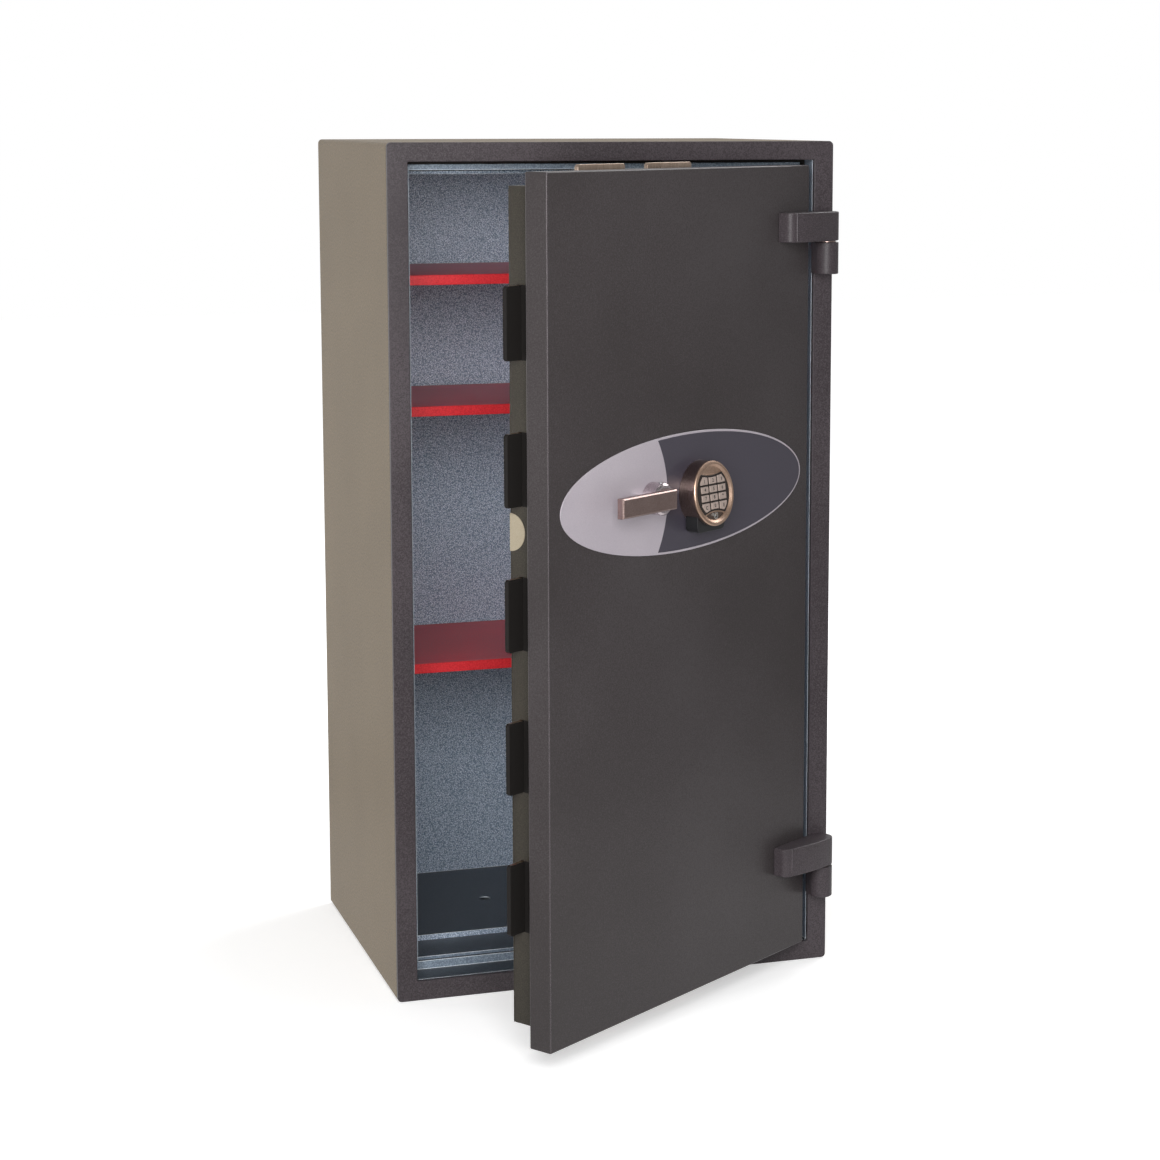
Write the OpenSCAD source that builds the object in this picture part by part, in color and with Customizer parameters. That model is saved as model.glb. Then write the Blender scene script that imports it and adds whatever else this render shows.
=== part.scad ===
// Electronic safe with a round keypad, a lever handle and a boltwork door.
// The origin is the middle of the underside, +Z is up and the door is on the -Y side.
// The door stands open, with its bolts thrown.

/* [Cabinet] */
// Width of the cabinet
body_w = 630; // [600:1:720]
// Depth of the cabinet
body_d = 475; // [440:1:560]
// Height of the cabinet
body_h = 1170; // [1140:1:1320]
// Sheet thickness of the outer shell and the back plate
skin_t = 4; // [3:0.5:6]
// Outer radius of the cabinet's long edges
corner_r = 6; // [5:0.5:12]
// Width of the front frame beside the door
frame_w = 28; // [26:0.5:34]
// Width of the front frame above the door
frame_top_w = 25.5; // [25:0.5:34]
// Width of the front frame below the door
frame_foot_w = 27.5; // [26:0.5:34]
// Thickness of the front frame
frame_t = 8; // [5:0.5:12]
// Depth of the recess that the door plate closes into
recess_d = 48; // [44:0.5:50]
// How far the lip stands into the recess
lip_w = 12; // [10:0.5:14]
// Sheet thickness of the folded frame around the recess
fold_t = 3; // [2:0.5:4]
// Depth at which the inner liner begins
throat_d = 136; // [110:1:140]
// Step between the throat and the inner liner
liner_step = 7.5; // [5:0.5:12]
// Sheet thickness of the inner liner
liner_t = 1.5; // [1:0.1:2.5]
// Flange of the liner behind the throat
liner_flange = 5; // [4:0.5:8]
// Thickness of the rear wall, barrier and skins together
rear_wall = 45; // [35:1:60]

/* [Floor anchors] */
// Inner radius of an anchor sleeve
anchor_r = 7; // [5:0.5:9]
// Wall of an anchor sleeve
anchor_wall = 4; // [3:0.5:6]
// Distance between the two anchor sleeves
anchor_span = 240; // [180:5:300]
// Distance of the anchor sleeves behind the middle of the cabinet
anchor_back = 40; // [0:5:80]

/* [Shelves] */
// Distance from the liner's ceiling to the top shelf
top_shelf_drop = 139; // [80:0.5:190]
// Distance from the liner's ceiling to the middle shelf
middle_shelf_drop = 322; // [240:0.5:420]
// Height of the bottom shelf's upper face
bottom_shelf_z = 438; // [250:1:600]
// Sheet thickness of a shelf
shelf_t = 1.5; // [1:0.1:2.5]
// Height of a shelf's turned-down edges
shelf_edge = 14; // [10:1:20]
// Depth of the shelves' front edge behind the cabinet's face
shelf_front = 150; // [145:1:170]
// Gap between the shelves and the rear of the liner
shelf_rear_gap = 6; // [3:1:15]
// Thickness of the slotted shelf strips
strip_t = 5; // [3:0.5:8]
// Width of the slotted shelf strips
strip_w = 22; // [18:1:30]
// Distance from one strip slot to the next
slot_pitch = 50; // [30:1:60]
// Thickness of a shelf clip
clip_t = 3; // [2:0.5:4]
// Reach of a shelf clip under the shelf
clip_reach = 14; // [10:1:18]

/* [Door] */
// Angle that the door stands open
open_angle = 34.3; // [0:0.1:90]
// Gap between the door plate and the front frame on both sides
door_gap = 4.5; // [3:0.1:6]
// Gap between the door plate and the front frame at the top
door_gap_top = 7; // [6.5:0.1:9]
// Gap between the door plate and the front frame at the bottom
door_gap_foot = 3.5; // [3:0.1:6]
// Thickness of the door plate
door_t = 34.5; // [30:0.5:38]
// Thickness of the door plate's front skin
door_skin = 6; // [4:0.5:8]
// Thickness of the door plate's edge walls
door_edge = 4; // [3:0.5:6]
// Thickness of the plate that closes the door's back
door_back = 3; // [2:0.5:4]
// How far the boltwork case is set in from the door's sides
case_inset = 18; // [16:0.5:22]
// How far the boltwork case is set in from the door's top edge
case_inset_top = 18; // [18:0.5:22]
// How far the boltwork case is set in from the door's bottom edge
case_inset_foot = 21.5; // [21.5:0.5:25]
// Depth of the boltwork case behind the door plate, with its cover
case_d = 42; // [40:0.5:46]
// Sheet thickness of the boltwork case
case_t = 3; // [2:0.5:4]
// Sheet thickness of the boltwork cover
cover_t = 2; // [1.5:0.1:3]
// Radius of the round label on the case's edge
label_r = 24; // [16:1:26]

/* [Hinges] */
// Distance of the hinge axis from the side of the cabinet
hinge_side = 16; // [15:0.5:17]
// Distance of the hinge axis in front of the cabinet's face
hinge_front = 19; // [18.5:0.1:21]
// Radius of the hinge knuckles
knuckle_r = 16; // [14:0.5:16.5]
// Radius of the hinge pins
hinge_pin_r = 6; // [4:0.5:7]
// Height of a hinge arm
arm_h = 40; // [34:1:46]
// Reach of a hinge arm from the hinge axis
arm_reach = 91; // [70:1:120]
// Radius of the bow on a hinge arm's front
arm_bow_r = 300; // [260:5:400]
// Height of a hinge post
post_h = 44; // [36:1:50]
// Thickness of the thrust washers
washer_t = 1.8; // [1.4:0.1:2.5]
// Distance from the top of the door to the middle of the upper arm
upper_arm_drop = 83.5; // [70:0.5:120]
// Distance from the bottom of the door to the middle of the lower arm
lower_arm_rise = 135.5; // [110:0.5:170]
// Depth of a pin's blind end in the arm and in the post
pin_cap = 8; // [5:0.5:12]

/* [Bolts] */
// Thickness of the bolts
bolt_t = 6; // [5:0.5:7]
// Length of a bolt in its sliding direction
bolt_len = 92; // [88:1:100]
// Width of a side bolt
side_bolt_w = 92; // [80:1:100]
// Distance from one side bolt to the next
side_pitch = 182.5; // [150:0.5:190]
// Height of the middle side bolt above the cabinet's underside
side_mid_z = 587; // [570:1:620]
// Width of a top or bottom bolt
end_bolt_w = 96; // [80:1:100]
// Distance between the two top bolts
end_pitch = 143; // [130:1:150]
// Distance of the top bolts' middle left of the cabinet's middle
end_shift = 32.5; // [20:0.5:40]
// Depth of the bolts behind the door's face
bolt_depth = 57; // [56:0.5:58]
// Travel of the side bolts
bolt_throw = 27; // [24:0.5:28]
// Travel of the top and bottom bolts, whose tips pass through the front frame
end_throw = 24.5; // [20:0.5:24.5]
// Width of the bolt carrier bars
bar_w = 22; // [18:1:24]
// Thickness of the bolt carrier bars
bar_t = 5; // [4:0.5:5.5]
// Radius of the guide studs
stud_r = 5; // [4:0.5:5.5]
// Distance from the case's edge to the guide studs
stud_in = 36.5; // [36:0.5:38]
// Chamfer on the leading corners of the bolts
bolt_chamfer = 2; // [1:0.5:3]
// How far the fixed dogs stand out on the hinge side
dog_out = 18; // [14:0.5:18]
// Space between a thrown bolt and the end of its pocket
pocket_end = 3; // [2:0.5:4]

/* [Handle] */
// Position of the handle's axis from the middle of the cabinet
handle_x = -77; // [-90:1:-70]
// Height of the handle's axis
handle_z = 717; // [700:1:730]
// Angle that the handle turns to withdraw the bolts
handle_turn = 70; // [60:1:80]
// Radius of the handle's hub
hub_r = 21; // [18:0.5:24]
// Length of the handle's hub
hub_l = 25; // [20:0.5:30]
// Chamfer on the front of the hub
hub_chamfer = 3; // [1:0.5:4]
// Reach of the lever from its axis
lever_l = 100; // [80:1:120]
// Height of the lever bar
lever_h = 26; // [20:0.5:30]
// Thickness of the lever bar
lever_t = 10; // [8:0.5:12]
// Bevel around the lever bar's face
lever_bevel = 2; // [0.6:0.1:2.4]
// Radius of the spindle
spindle_r = 6; // [5:0.5:7]
// Wall of the spindle's bush
bush_wall = 4; // [3:0.5:6]
// Radius of the drive cam
cam_r = 34; // [32:0.5:36]
// Thickness of the drive cam
cam_t = 6; // [5:0.5:7]
// Radius of the drive cam's pins
cam_pin_r = 4; // [3.5:0.1:4.2]

/* [Keypad] */
// Position of the keypad from the middle of the cabinet
pad_x = 24.5; // [18:0.5:30]
// Height of the keypad
pad_z = 713.5; // [700:0.5:730]
// Angle that the keypad's face looks upward
pad_tilt = 7.2; // [5:0.1:8]
// Depth of the keypad in front of the door, at the middle of its face
pad_d = 25.7; // [25:0.1:28]
// Radius of the keypad's housing
housing_r = 42; // [41.5:0.5:44]
// Wall of the keypad's housing
housing_t = 2.5; // [2:0.5:3]
// Thickness of the keypad's floor
housing_floor = 2; // [1.5:0.1:2.5]
// Overhang of the bezel past the housing
bezel_over = 1; // [0.5:0.1:2]
// Width of the bezel's ring
bezel_w = 7.6; // [6:0.1:8]
// Height of the bezel's ring above the housing
bezel_t = 3.6; // [3:0.1:5]
// Distance between key columns
key_pitch_x = 18.9; // [18:0.1:19.2]
// Distance between key rows
key_pitch_z = 11.1; // [10.6:0.1:11.4]
// Gap between two key columns
key_gap_x = 3.9; // [3:0.1:4.6]
// Gap between two key rows
key_gap_z = 2.5; // [1.9:0.1:3]
// Height of the key caps above the housing's rim
key_out = 2.3; // [2:0.1:3]
// Travel of a key
key_travel = 1; // [0.6:0.1:1.2]
// Width of the battery drawer
drawer_w = 60; // [57:1:62]
// How far the battery drawer hangs below the housing
drawer_drop = 8.5; // [8:0.5:12]
// Wall of the battery drawer
drawer_wall = 0.9; // [0.7:0.1:1.2]
// Length of the battery, which lies across the drawer
battery_l = 48.5; // [46:0.5:49]
// Width of the battery
battery_w = 26.5; // [25:0.5:27]
// Thickness of the battery
battery_t = 17.5; // [16:0.5:17.5]

/* [Emblem] */
// Position of the oval plate from the middle of the cabinet
oval_x = 1.5; // [0:0.5:10]
// Height of the oval plate's middle
oval_z = 716.5; // [705:0.5:730]
// Width of the oval plate
oval_w = 524; // [480:1:540]
// Height of the oval plate
oval_h = 157; // [140:1:180]
// Thickness of the oval plate
oval_t = 1.5; // [1:0.1:2]
// Light rim left around the dark inlay
oval_rim = 3; // [2.5:0.5:8]
// Distance of the inlay's curved edge left of the cabinet's middle
inlay_edge = 42; // [38:0.5:50]
// Radius of the inlay's curved edge
inlay_bow_r = 140; // [120:1:200]
// Thickness of the dark inlay
inlay_t = 0.4; // [0.3:0.1:0.6]

/* [Lock] */
// Width of the lock case
lock_w = 62; // [58:1:66]
// Height of the lock case
lock_h = 85; // [80:1:90]
// Depth of the lock case
lock_d = 24; // [20:0.5:25]
// Distance of the lock case right of the handle's axis
lock_x = 50; // [48:0.5:54]
// Distance of the lock case's top below the keypad's middle
lock_drop = 40; // [38:0.5:44]
// Travel of the lock bolt
lock_throw = 10; // [9:0.5:11]
// Radius of the keypad's cable
cable_r = 2.5; // [2:0.1:3]
// Radius of the cable's hole through the door
cable_hole_r = 5; // [4:0.1:6]

/* [Fits] */
// Gap on each side of a sliding part
slide_clear = 0.6; // [0.5:0.1:0.8]
// Gap around a running shaft
run_clear = 0.08; // [0.05:0.01:0.1]
// Gap between parts that are pushed together by hand
hand_clear = 0.2; // [0.1:0.05:0.3]

/* [Hidden] */
$fn = 64;

steel_dark = "#4b474b";
steel_side = "#7c7468";
liner_blue = "#5a6878";
shelf_red = "#d93034";
satin_nickel = "#9a8c84";
bolt_steel = "#8d7a6c";
concrete = "#b9b4a8";
black_plastic = "#1c1c1e";

front_y = -body_d / 2;
half_w = body_w / 2;

// Openings in the cabinet, as half widths and as heights
recess_x = half_w - frame_w;
recess_z0 = frame_foot_w;
recess_z1 = body_h - frame_top_w;
lip_x = recess_x - lip_w;
lip_z0 = recess_z0 + lip_w;
lip_z1 = recess_z1 - lip_w;
liner_x = lip_x - liner_step;
liner_z0 = lip_z0 + liner_step;
liner_z1 = lip_z1 - liner_step;
liner_rear = body_d - rear_wall;
shell_x = half_w - skin_t;
anchor_hole_over = 1;
board_joint = 0.3;
top_shelf_z = liner_z1 - top_shelf_drop;
middle_shelf_z = liner_z1 - middle_shelf_drop;

// Door plate and boltwork case, with the door shut
door_x = recess_x - door_gap;
door_z0 = recess_z0 + door_gap_foot;
door_z1 = recess_z1 - door_gap_top;
case_x = door_x - case_inset;
case_z0 = door_z0 + case_inset_foot;
case_z1 = door_z1 - case_inset_top;
case_rear = door_t + case_d;
cover_gap = 0.5;
case_edge_rear = case_rear - cover_t - cover_gap;

hinge_x = half_w - hinge_side;
hinge_y = front_y - hinge_front;
upper_arm_z = door_z1 - upper_arm_drop - arm_h / 2;
lower_arm_z = door_z0 + lower_arm_rise - arm_h / 2;
washer_gap = washer_t + hand_clear;
knuckle_gap = 1;
washer_wall = 6;
pin_end_gap = 1;

bolt_back = bolt_depth + bolt_t;
pocket_front = bolt_depth - pocket_end;
pocket_back = bolt_back + pocket_end;
side_bolt_zs = [for (i = [-2:2]) side_mid_z + i * side_pitch];
end_bolt_xs = [for (i = [-0.5, 0.5]) -end_shift + i * end_pitch];
bar_back = bolt_back + bar_t;
stud_head_over = 2;
stud_head_t = 2;
stud_bar_gap = 3;
bar_from_stud = stud_r + stud_head_over + stud_bar_gap;
bar_set = 4;
dog_set = 1;
arm_plate_t = bolt_t - 1;

bush_r = spindle_r + bush_wall + hand_clear;
side_pin_ring = bolt_throw / (2 * sin(handle_turn / 2));
end_pin_ring = end_throw / (2 * sin(handle_turn / 2));
cam_gap = 1.5;
cam_back = bolt_depth - cam_gap;
side_pin_angle = 270 - handle_turn / 2;
top_pin_angle = 180 - handle_turn / 2;
bottom_pin_angle = -handle_turn / 2;
pin_slot_r = cam_pin_r + slide_clear;
pin_slot_wall = 6;
pin_proud = 0.5;

// Levels on the keypad are counted outward from its housing's rim
bezel_r = housing_r + bezel_over;
bezel_in = bezel_r - bezel_w;
key_frame_gap = 0.8;
key_margin = 4;
key_margin_top = 2.4;
key_margin_low = 2.2;
key_frame_r = bezel_in - key_frame_gap;
key_clip_r = key_frame_r - key_margin;
key_rise = 0.4;
key_top = key_rise + 2 * key_pitch_z - key_gap_z / 2;
key_foot = 3.5;
crescent_r = 62;
crescent_top = key_rise - 2 * key_pitch_z + key_gap_z / 2;
lip_top = crescent_top - key_margin_low;
brow_bow_r = 90;
brow_gap = 1.8;
brow_foot = key_top + key_margin_top;
key_head = 3;
plate_back = -1.2;
plate_front = 0.6;
frame_back = -1.5;
frame_front = 0.9;
recess_floor = -0.4;
key_back = -3;
membrane_t = 0.2;
key_rest = 0.1;
membrane_front = key_back - key_travel - key_rest;
board_t = 1.6;
board_front = membrane_front - membrane_t;
board_gap = 1.3;
board_r = housing_r - housing_t - board_gap;
board_low = -21;
led_z = -29.2;
led_r = 1.8;
pad_floor = oval_t + housing_floor;
drawer_gap = 0.3;
drawer_back = -pad_floor - drawer_gap;
drawer_front = drawer_back - battery_t - 2 * (drawer_wall + hand_clear);
drawer_z0 = pad_z - housing_r - drawer_drop;
drawer_z1 = drawer_z0 + drawer_wall + battery_w;
drawer_corner = 8;
lock_x0 = handle_x + lock_x;
lock_z1 = pad_z - lock_drop;
lock_bolt_l = 24.5;
lock_bolt_h = 24;
lock_bolt_t = 9;
lock_bolt_set = 0.5;
lock_bolt_back = 12;
lock_bolt_gap = 0.3;
lock_bolt_end = 1;
lock_bolt_z = lock_z1 - lock_h / 2;
lock_bolt_x0 = lock_x0 + lock_bolt_set;
lock_bolt_x1 = lock_bolt_x0 + lock_bolt_l;
lock_bolt_t0 = door_t + lock_bolt_back;
lug_gap = 6;
lug_h = 20;
lug_drop = 2;
lug_z1 = lock_bolt_z - lock_bolt_h / 2 - lug_drop;
bottom_rod_x = handle_x + end_pin_ring * (1 + cos(handle_turn / 2)) / 2;
top_rod_x = handle_x - end_pin_ring * (1 + cos(handle_turn / 2)) / 2;
lug_x = lock_x0 - lug_gap;

// Carries a closed-door piece round to where the open door stands
module on_door() {
    translate([hinge_x, hinge_y, 0])
        rotate([0, 0, open_angle])
            translate([-hinge_x, -hinge_y, 0])
                children();
}

// Block between two depths behind the cabinet's face
module slab(x0, x1, t0, t1, z0, z1) {
    translate([x0, front_y + t0, z0])
        cube([x1 - x0, t1 - t0, z1 - z0]);
}

// Round bar along the depth
module rod(x, z, t0, t1, r) {
    translate([x, front_y + t1, z])
        rotate([90, 0, 0])
            cylinder(h = t1 - t0, r = r);
}

// Upright bar about a vertical axis
module post(x, y, z0, z1, r) {
    translate([x, y, z0])
        cylinder(h = z1 - z0, r = r);
}

// Flat outline in X and Z, extruded between two depths
module sheet(t0, t1) {
    translate([0, front_y + t1, 0])
        rotate([90, 0, 0])
            linear_extrude(t1 - t0)
                children();
}

// Turned shape about an axis along the depth; its height runs out of the door's face
module turned(x, z, points) {
    translate([x, front_y, z])
        rotate([90, 0, 0])
            rotate_extrude()
                polygon(points);
}

// Rectangle with round corners
module round_rect(x0, x1, z0, z1, r) {
    translate([x0 + r, z0])
        square([x1 - x0 - 2 * r, z1 - z0]);
    translate([x0, z0 + r])
        square([x1 - x0, z1 - z0 - 2 * r]);
    for (x = [x0 + r, x1 - r], z = [z0 + r, z1 - r])
        translate([x, z])
            circle(r);
}

// Slot with round ends, cut along X or Z through a plate
module slot_x(x0, x1, z, t0, t1, r) {
    slab(x0 + r, x1 - r, t0, t1, z - r, z + r);
    rod(x0 + r, z, t0, t1, r);
    rod(x1 - r, z, t0, t1, r);
}

module slot_z(x, z0, z1, t0, t1, r) {
    slab(x - r, x + r, t0, t1, z0 + r, z1 - r);
    rod(x, z0 + r, t0, t1, r);
    rod(x, z1 - r, t0, t1, r);
}

// The cabinet's pieces
module outer_shell() {
    color(steel_side)
        difference() {
            sheet(frame_t, body_d - skin_t)
                difference() {
                    round_rect(-half_w, half_w, 0, body_h, corner_r);
                    round_rect(-shell_x, shell_x, skin_t, body_h - skin_t, corner_r - skin_t);
                }
            for (side = [-1, 1])
                post(side * anchor_span / 2, anchor_back, -1, skin_t + 1,
                    anchor_r + anchor_wall + hand_clear);
        }
}

module back_plate() {
    color(steel_side)
        sheet(body_d - skin_t, body_d)
            round_rect(-half_w, half_w, 0, body_h, corner_r);
}

module front_frame() {
    color(steel_dark)
        sheet(0, frame_t)
            difference() {
                round_rect(-half_w, half_w, 0, body_h, corner_r);
                translate([-recess_x, recess_z0])
                    square([2 * recess_x, recess_z1 - recess_z0]);
            }
}

// Groove behind the lip for the thrown bolts and the fixed dogs
module bolt_groove(grow) {
    over = pocket_end + grow;
    slab(-case_x - bolt_throw - over, case_x + dog_out + over, pocket_front - grow, pocket_back + grow,
        case_z0 - end_throw - over, case_z1 + end_throw + over);
}

// Recess, throat and bolt groove, grown by the sheet that lines them
module recess_space(front, grow) {
    slab(-recess_x - grow, recess_x + grow, front, recess_d + grow, recess_z0 - grow, recess_z1 + grow);
    slab(-lip_x - grow, lip_x + grow, front, throat_d, lip_z0 - grow, lip_z1 + grow);
    bolt_groove(grow);
}

module rebate_frame() {
    color(liner_blue)
        difference() {
            recess_space(frame_t, fold_t);
            recess_space(frame_t - 1, 0);
            slab(-lip_x, lip_x, frame_t, throat_d + 1, lip_z0, lip_z1);
        }
}

module anchor_holes(z0, z1, r) {
    for (side = [-1, 1])
        post(side * anchor_span / 2, anchor_back, z0, z1, r);
}

module liner_block(grow, front, rear) {
    slab(-liner_x - grow, liner_x + grow, front, rear, liner_z0 - grow, liner_z1 + grow);
}

module liner_flange_block() {
    edge = liner_step + liner_flange;
    liner_block(edge, throat_d, throat_d + liner_t);
}

// Four boards around an opening, between two depths
module board_ring(t0, t1, x0, x1, z0, z1) {
    sheet(t0, t1)
        difference() {
            round_rect(-shell_x, shell_x, skin_t, body_h - skin_t, corner_r - skin_t);
            translate([x0, z0])
                square([x1 - x0, z1 - z0]);
            for (x = [x0, x1 - board_joint])
                translate([x, 0])
                    square([board_joint, body_h]);
        }
}

// Fire-resistant boards between the shell and the sheets that line the opening
module body_infill() {
    back = recess_d + fold_t;
    throat_x = lip_x + fold_t;
    groove = pocket_end + fold_t;
    groove_back = pocket_back + fold_t;
    inner_x = liner_x + liner_t;
    rear = liner_rear + liner_t;
    color(concrete) {
        board_ring(frame_t, back - board_joint, -recess_x - fold_t, recess_x + fold_t,
            recess_z0 - fold_t, recess_z1 + fold_t);
        board_ring(back, groove_back - board_joint, -case_x - bolt_throw - groove, case_x + dog_out + groove,
            case_z0 - end_throw - groove, case_z1 + end_throw + groove);
        board_ring(groove_back, throat_d, -throat_x, throat_x, lip_z0 - fold_t, lip_z1 + fold_t);
        difference() {
            board_ring(throat_d + liner_t, rear - board_joint, -inner_x, inner_x,
                liner_z0 - liner_t, liner_z1 + liner_t);
            anchor_holes(0, liner_z0, anchor_r + anchor_wall + hand_clear);
        }
        sheet(rear, body_d - skin_t)
            round_rect(-shell_x, shell_x, skin_t, body_h - skin_t, corner_r - skin_t);
    }
}

module inner_liner() {
    color(liner_blue)
        difference() {
            union() {
                liner_block(liner_t, throat_d, liner_rear + liner_t);
                liner_flange_block();
            }
            liner_block(0, throat_d - 1, liner_rear);
            anchor_holes(liner_z0 - liner_t - 1, liner_z0 + 1, anchor_r + anchor_hole_over);
        }
}

module floor_sleeves() {
    color("silver")
        difference() {
            anchor_holes(0, liner_z0 - liner_t, anchor_r + anchor_wall);
            anchor_holes(-1, liner_z0, anchor_r);
        }
}

strip_set = 20;
strip_end = 20;
strip_ts = [shelf_front + strip_set, liner_rear - shelf_rear_gap - strip_set - strip_w];
strip_z0 = liner_z0 + strip_end;
strip_z1 = liner_z1 - strip_end;
strip_x = liner_x - strip_t;
slot_count = floor((strip_z1 - strip_z0 - strip_end) / slot_pitch);

module shelf_strips() {
    slot_w = 8;
    slot_h = 14;
    color(liner_blue)
        for (side = [-1, 1], t = strip_ts)
            difference() {
                slab(min(side * strip_x, side * liner_x), max(side * strip_x, side * liner_x),
                    t, t + strip_w, strip_z0, strip_z1);
                for (i = [1:slot_count])
                    slab(-liner_x - 1, liner_x + 1, t + (strip_w - slot_w) / 2, t + (strip_w + slot_w) / 2,
                        strip_z0 + i * slot_pitch - slot_h / 2, strip_z0 + i * slot_pitch + slot_h / 2);
            }
}

module shelf_clips() {
    tab_h = 18;
    color("silver")
        for (top = [top_shelf_z, middle_shelf_z, bottom_shelf_z], side = [-1, 1], t = strip_ts)
            mirror([side < 0 ? 1 : 0, 0, 0]) {
                z = top - shelf_edge;
                slab(strip_x - clip_reach, strip_x, t, t + strip_w, z - clip_t, z);
                slab(strip_x - clip_t, strip_x, t, t + strip_w, z - tab_h, z);
            }
}

// Tray with its edges turned down, resting on four clips
module shelf(top) {
    side_gap = 2;
    x = strip_x - side_gap;
    rear = liner_rear - shelf_rear_gap;
    color(shelf_red)
        difference() {
            slab(-x, x, shelf_front, rear, top - shelf_edge, top);
            slab(-x + shelf_t, x - shelf_t, shelf_front + shelf_t, rear - shelf_t,
                top - shelf_edge - 1, top - shelf_t);
        }
}

module top_shelf() { shelf(top_shelf_z); }
module middle_shelf() { shelf(middle_shelf_z); }
module bottom_shelf() { shelf(bottom_shelf_z); }

module hinge_posts() {
    color(steel_dark)
        for (arm_z = [upper_arm_z, lower_arm_z])
            difference() {
                union() {
                    post(hinge_x, hinge_y, arm_z - washer_gap - post_h, arm_z - washer_gap, knuckle_r);
                    slab(hinge_x - knuckle_r, hinge_x + knuckle_r, -hinge_front, 0,
                        arm_z - washer_gap - post_h, arm_z - washer_gap);
                }
                post(hinge_x, hinge_y, arm_z - washer_gap - post_h + pin_cap, arm_z,
                    hinge_pin_r + run_clear / 2);
            }
}

module hinge_pins() {
    color("silver")
        for (arm_z = [upper_arm_z, lower_arm_z])
            post(hinge_x, hinge_y, arm_z - washer_gap - post_h + pin_cap,
                arm_z + arm_h - pin_cap - pin_end_gap, hinge_pin_r);
}

module hinge_washers() {
    color("silver")
        for (arm_z = [upper_arm_z, lower_arm_z])
            difference() {
                post(hinge_x, hinge_y, arm_z - washer_gap, arm_z - hand_clear, hinge_pin_r + washer_wall);
                post(hinge_x, hinge_y, arm_z - washer_gap - 1, arm_z, hinge_pin_r + run_clear);
            }
}

// The door's pieces, drawn with the door shut
module door_plate() {
    color(steel_dark)
        on_door()
            difference() {
                slab(-door_x, door_x, 0, door_t, door_z0, door_z1);
                slab(-door_x + door_edge, door_x - door_edge, door_skin, door_t + 1,
                    door_z0 + door_edge, door_z1 - door_edge);
                rod(handle_x, handle_z, -1, door_skin + 1, bush_r);
                rod(pad_x, pad_z, -1, door_skin + 1, cable_hole_r);
            }
}

module door_infill() {
    color(concrete)
        on_door()
            difference() {
                slab(-door_x + door_edge, door_x - door_edge, door_skin, door_t - door_back,
                    door_z0 + door_edge, door_z1 - door_edge);
                slab(hard_x0, hard_x1, door_skin, door_skin + hard_t, hard_z0, hard_z1);
                rod(handle_x, handle_z, door_skin - 1, door_t, bush_r);
                rod(pad_x, pad_z, door_skin - 1, door_t, cable_hole_r);
            }
}

hard_t = 5;
hard_left = 60;
hard_right = 70;
hard_below = 20;
hard_above = 70;
hard_x0 = handle_x - hard_left;
hard_x1 = pad_x + hard_right;
hard_z0 = lock_z1 - lock_h - hard_below;
hard_z1 = handle_z + hard_above;

module hard_plate() {
    color("dimgray")
        on_door()
            difference() {
                slab(hard_x0, hard_x1, door_skin, door_skin + hard_t, hard_z0, hard_z1);
                rod(handle_x, handle_z, door_skin - 1, door_t, bush_r);
                rod(pad_x, pad_z, door_skin - 1, door_t, cable_hole_r);
            }
}

module door_back_plate() {
    color(steel_dark)
        on_door()
            difference() {
                slab(-door_x + door_edge, door_x - door_edge, door_t - door_back, door_t,
                    door_z0 + door_edge, door_z1 - door_edge);
                rod(handle_x, handle_z, 0, door_t + 1, bush_r);
                rod(pad_x, pad_z, 0, door_t + 1, cable_hole_r);
            }
}

lug_size = 14;
cover_screw_r = 2.5;
cover_screw_head_r = 5;
cover_screw_head_t = 2;
cover_screw_l = 12;
cover_screw_end = 2;
screw_in = case_t + lug_size / 2;
screw_places = [for (x = [-case_x + screw_in, case_x - screw_in],
    z = [case_z0 + screw_in, side_mid_z - side_pitch / 2, case_z1 - screw_in]) [x, z]];

module boltwork_case() {
    slot_front = bolt_depth - slide_clear;
    slot_back = bolt_back + slide_clear;
    half = side_bolt_w / 2 + slide_clear;
    end_half = end_bolt_w / 2 + slide_clear;
    color(steel_dark)
        on_door()
            difference() {
                union() {
                    difference() {
                        slab(-case_x, case_x, door_t, case_edge_rear, case_z0, case_z1);
                        slab(-case_x + case_t, case_x - case_t, door_t - 1, case_rear,
                            case_z0 + case_t, case_z1 - case_t);
                    }
                    for (p = screw_places)
                        slab(p[0] - lug_size / 2, p[0] + lug_size / 2, door_t, case_edge_rear + cover_gap,
                            p[1] - lug_size / 2, p[1] + lug_size / 2);
                }
                for (z = side_bolt_zs) {
                    slab(-case_x - 1, -case_x + case_t + 1, slot_front, slot_back, z - half, z + half);
                    slab(case_x - case_t - 1, case_x + 1, bolt_depth + dog_set - hand_clear,
                        bolt_back + dog_set + hand_clear, z - side_bolt_w / 2 - hand_clear,
                        z + side_bolt_w / 2 + hand_clear);
                }
                for (x = end_bolt_xs)
                    slab(x - end_half, x + end_half, slot_front, slot_back, case_z0 - 1, case_z1 + 1);
                for (p = screw_places)
                    rod(p[0], p[1], case_edge_rear - cover_screw_l - cover_screw_end, case_rear,
                        cover_screw_r + run_clear);
            }
}

module boltwork_cover() {
    color(steel_dark)
        on_door()
            difference() {
                slab(-case_x, case_x, case_rear - cover_t, case_rear, case_z0, case_z1);
                for (p = screw_places)
                    rod(p[0], p[1], case_edge_rear, case_rear + 1, cover_screw_r + run_clear);
            }
}

module cover_screws() {
    color("silver")
        on_door()
            for (p = screw_places) {
                rod(p[0], p[1], case_edge_rear - cover_screw_l, case_rear, cover_screw_r);
                rod(p[0], p[1], case_rear, case_rear + cover_screw_head_t, cover_screw_head_r);
            }
}

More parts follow.
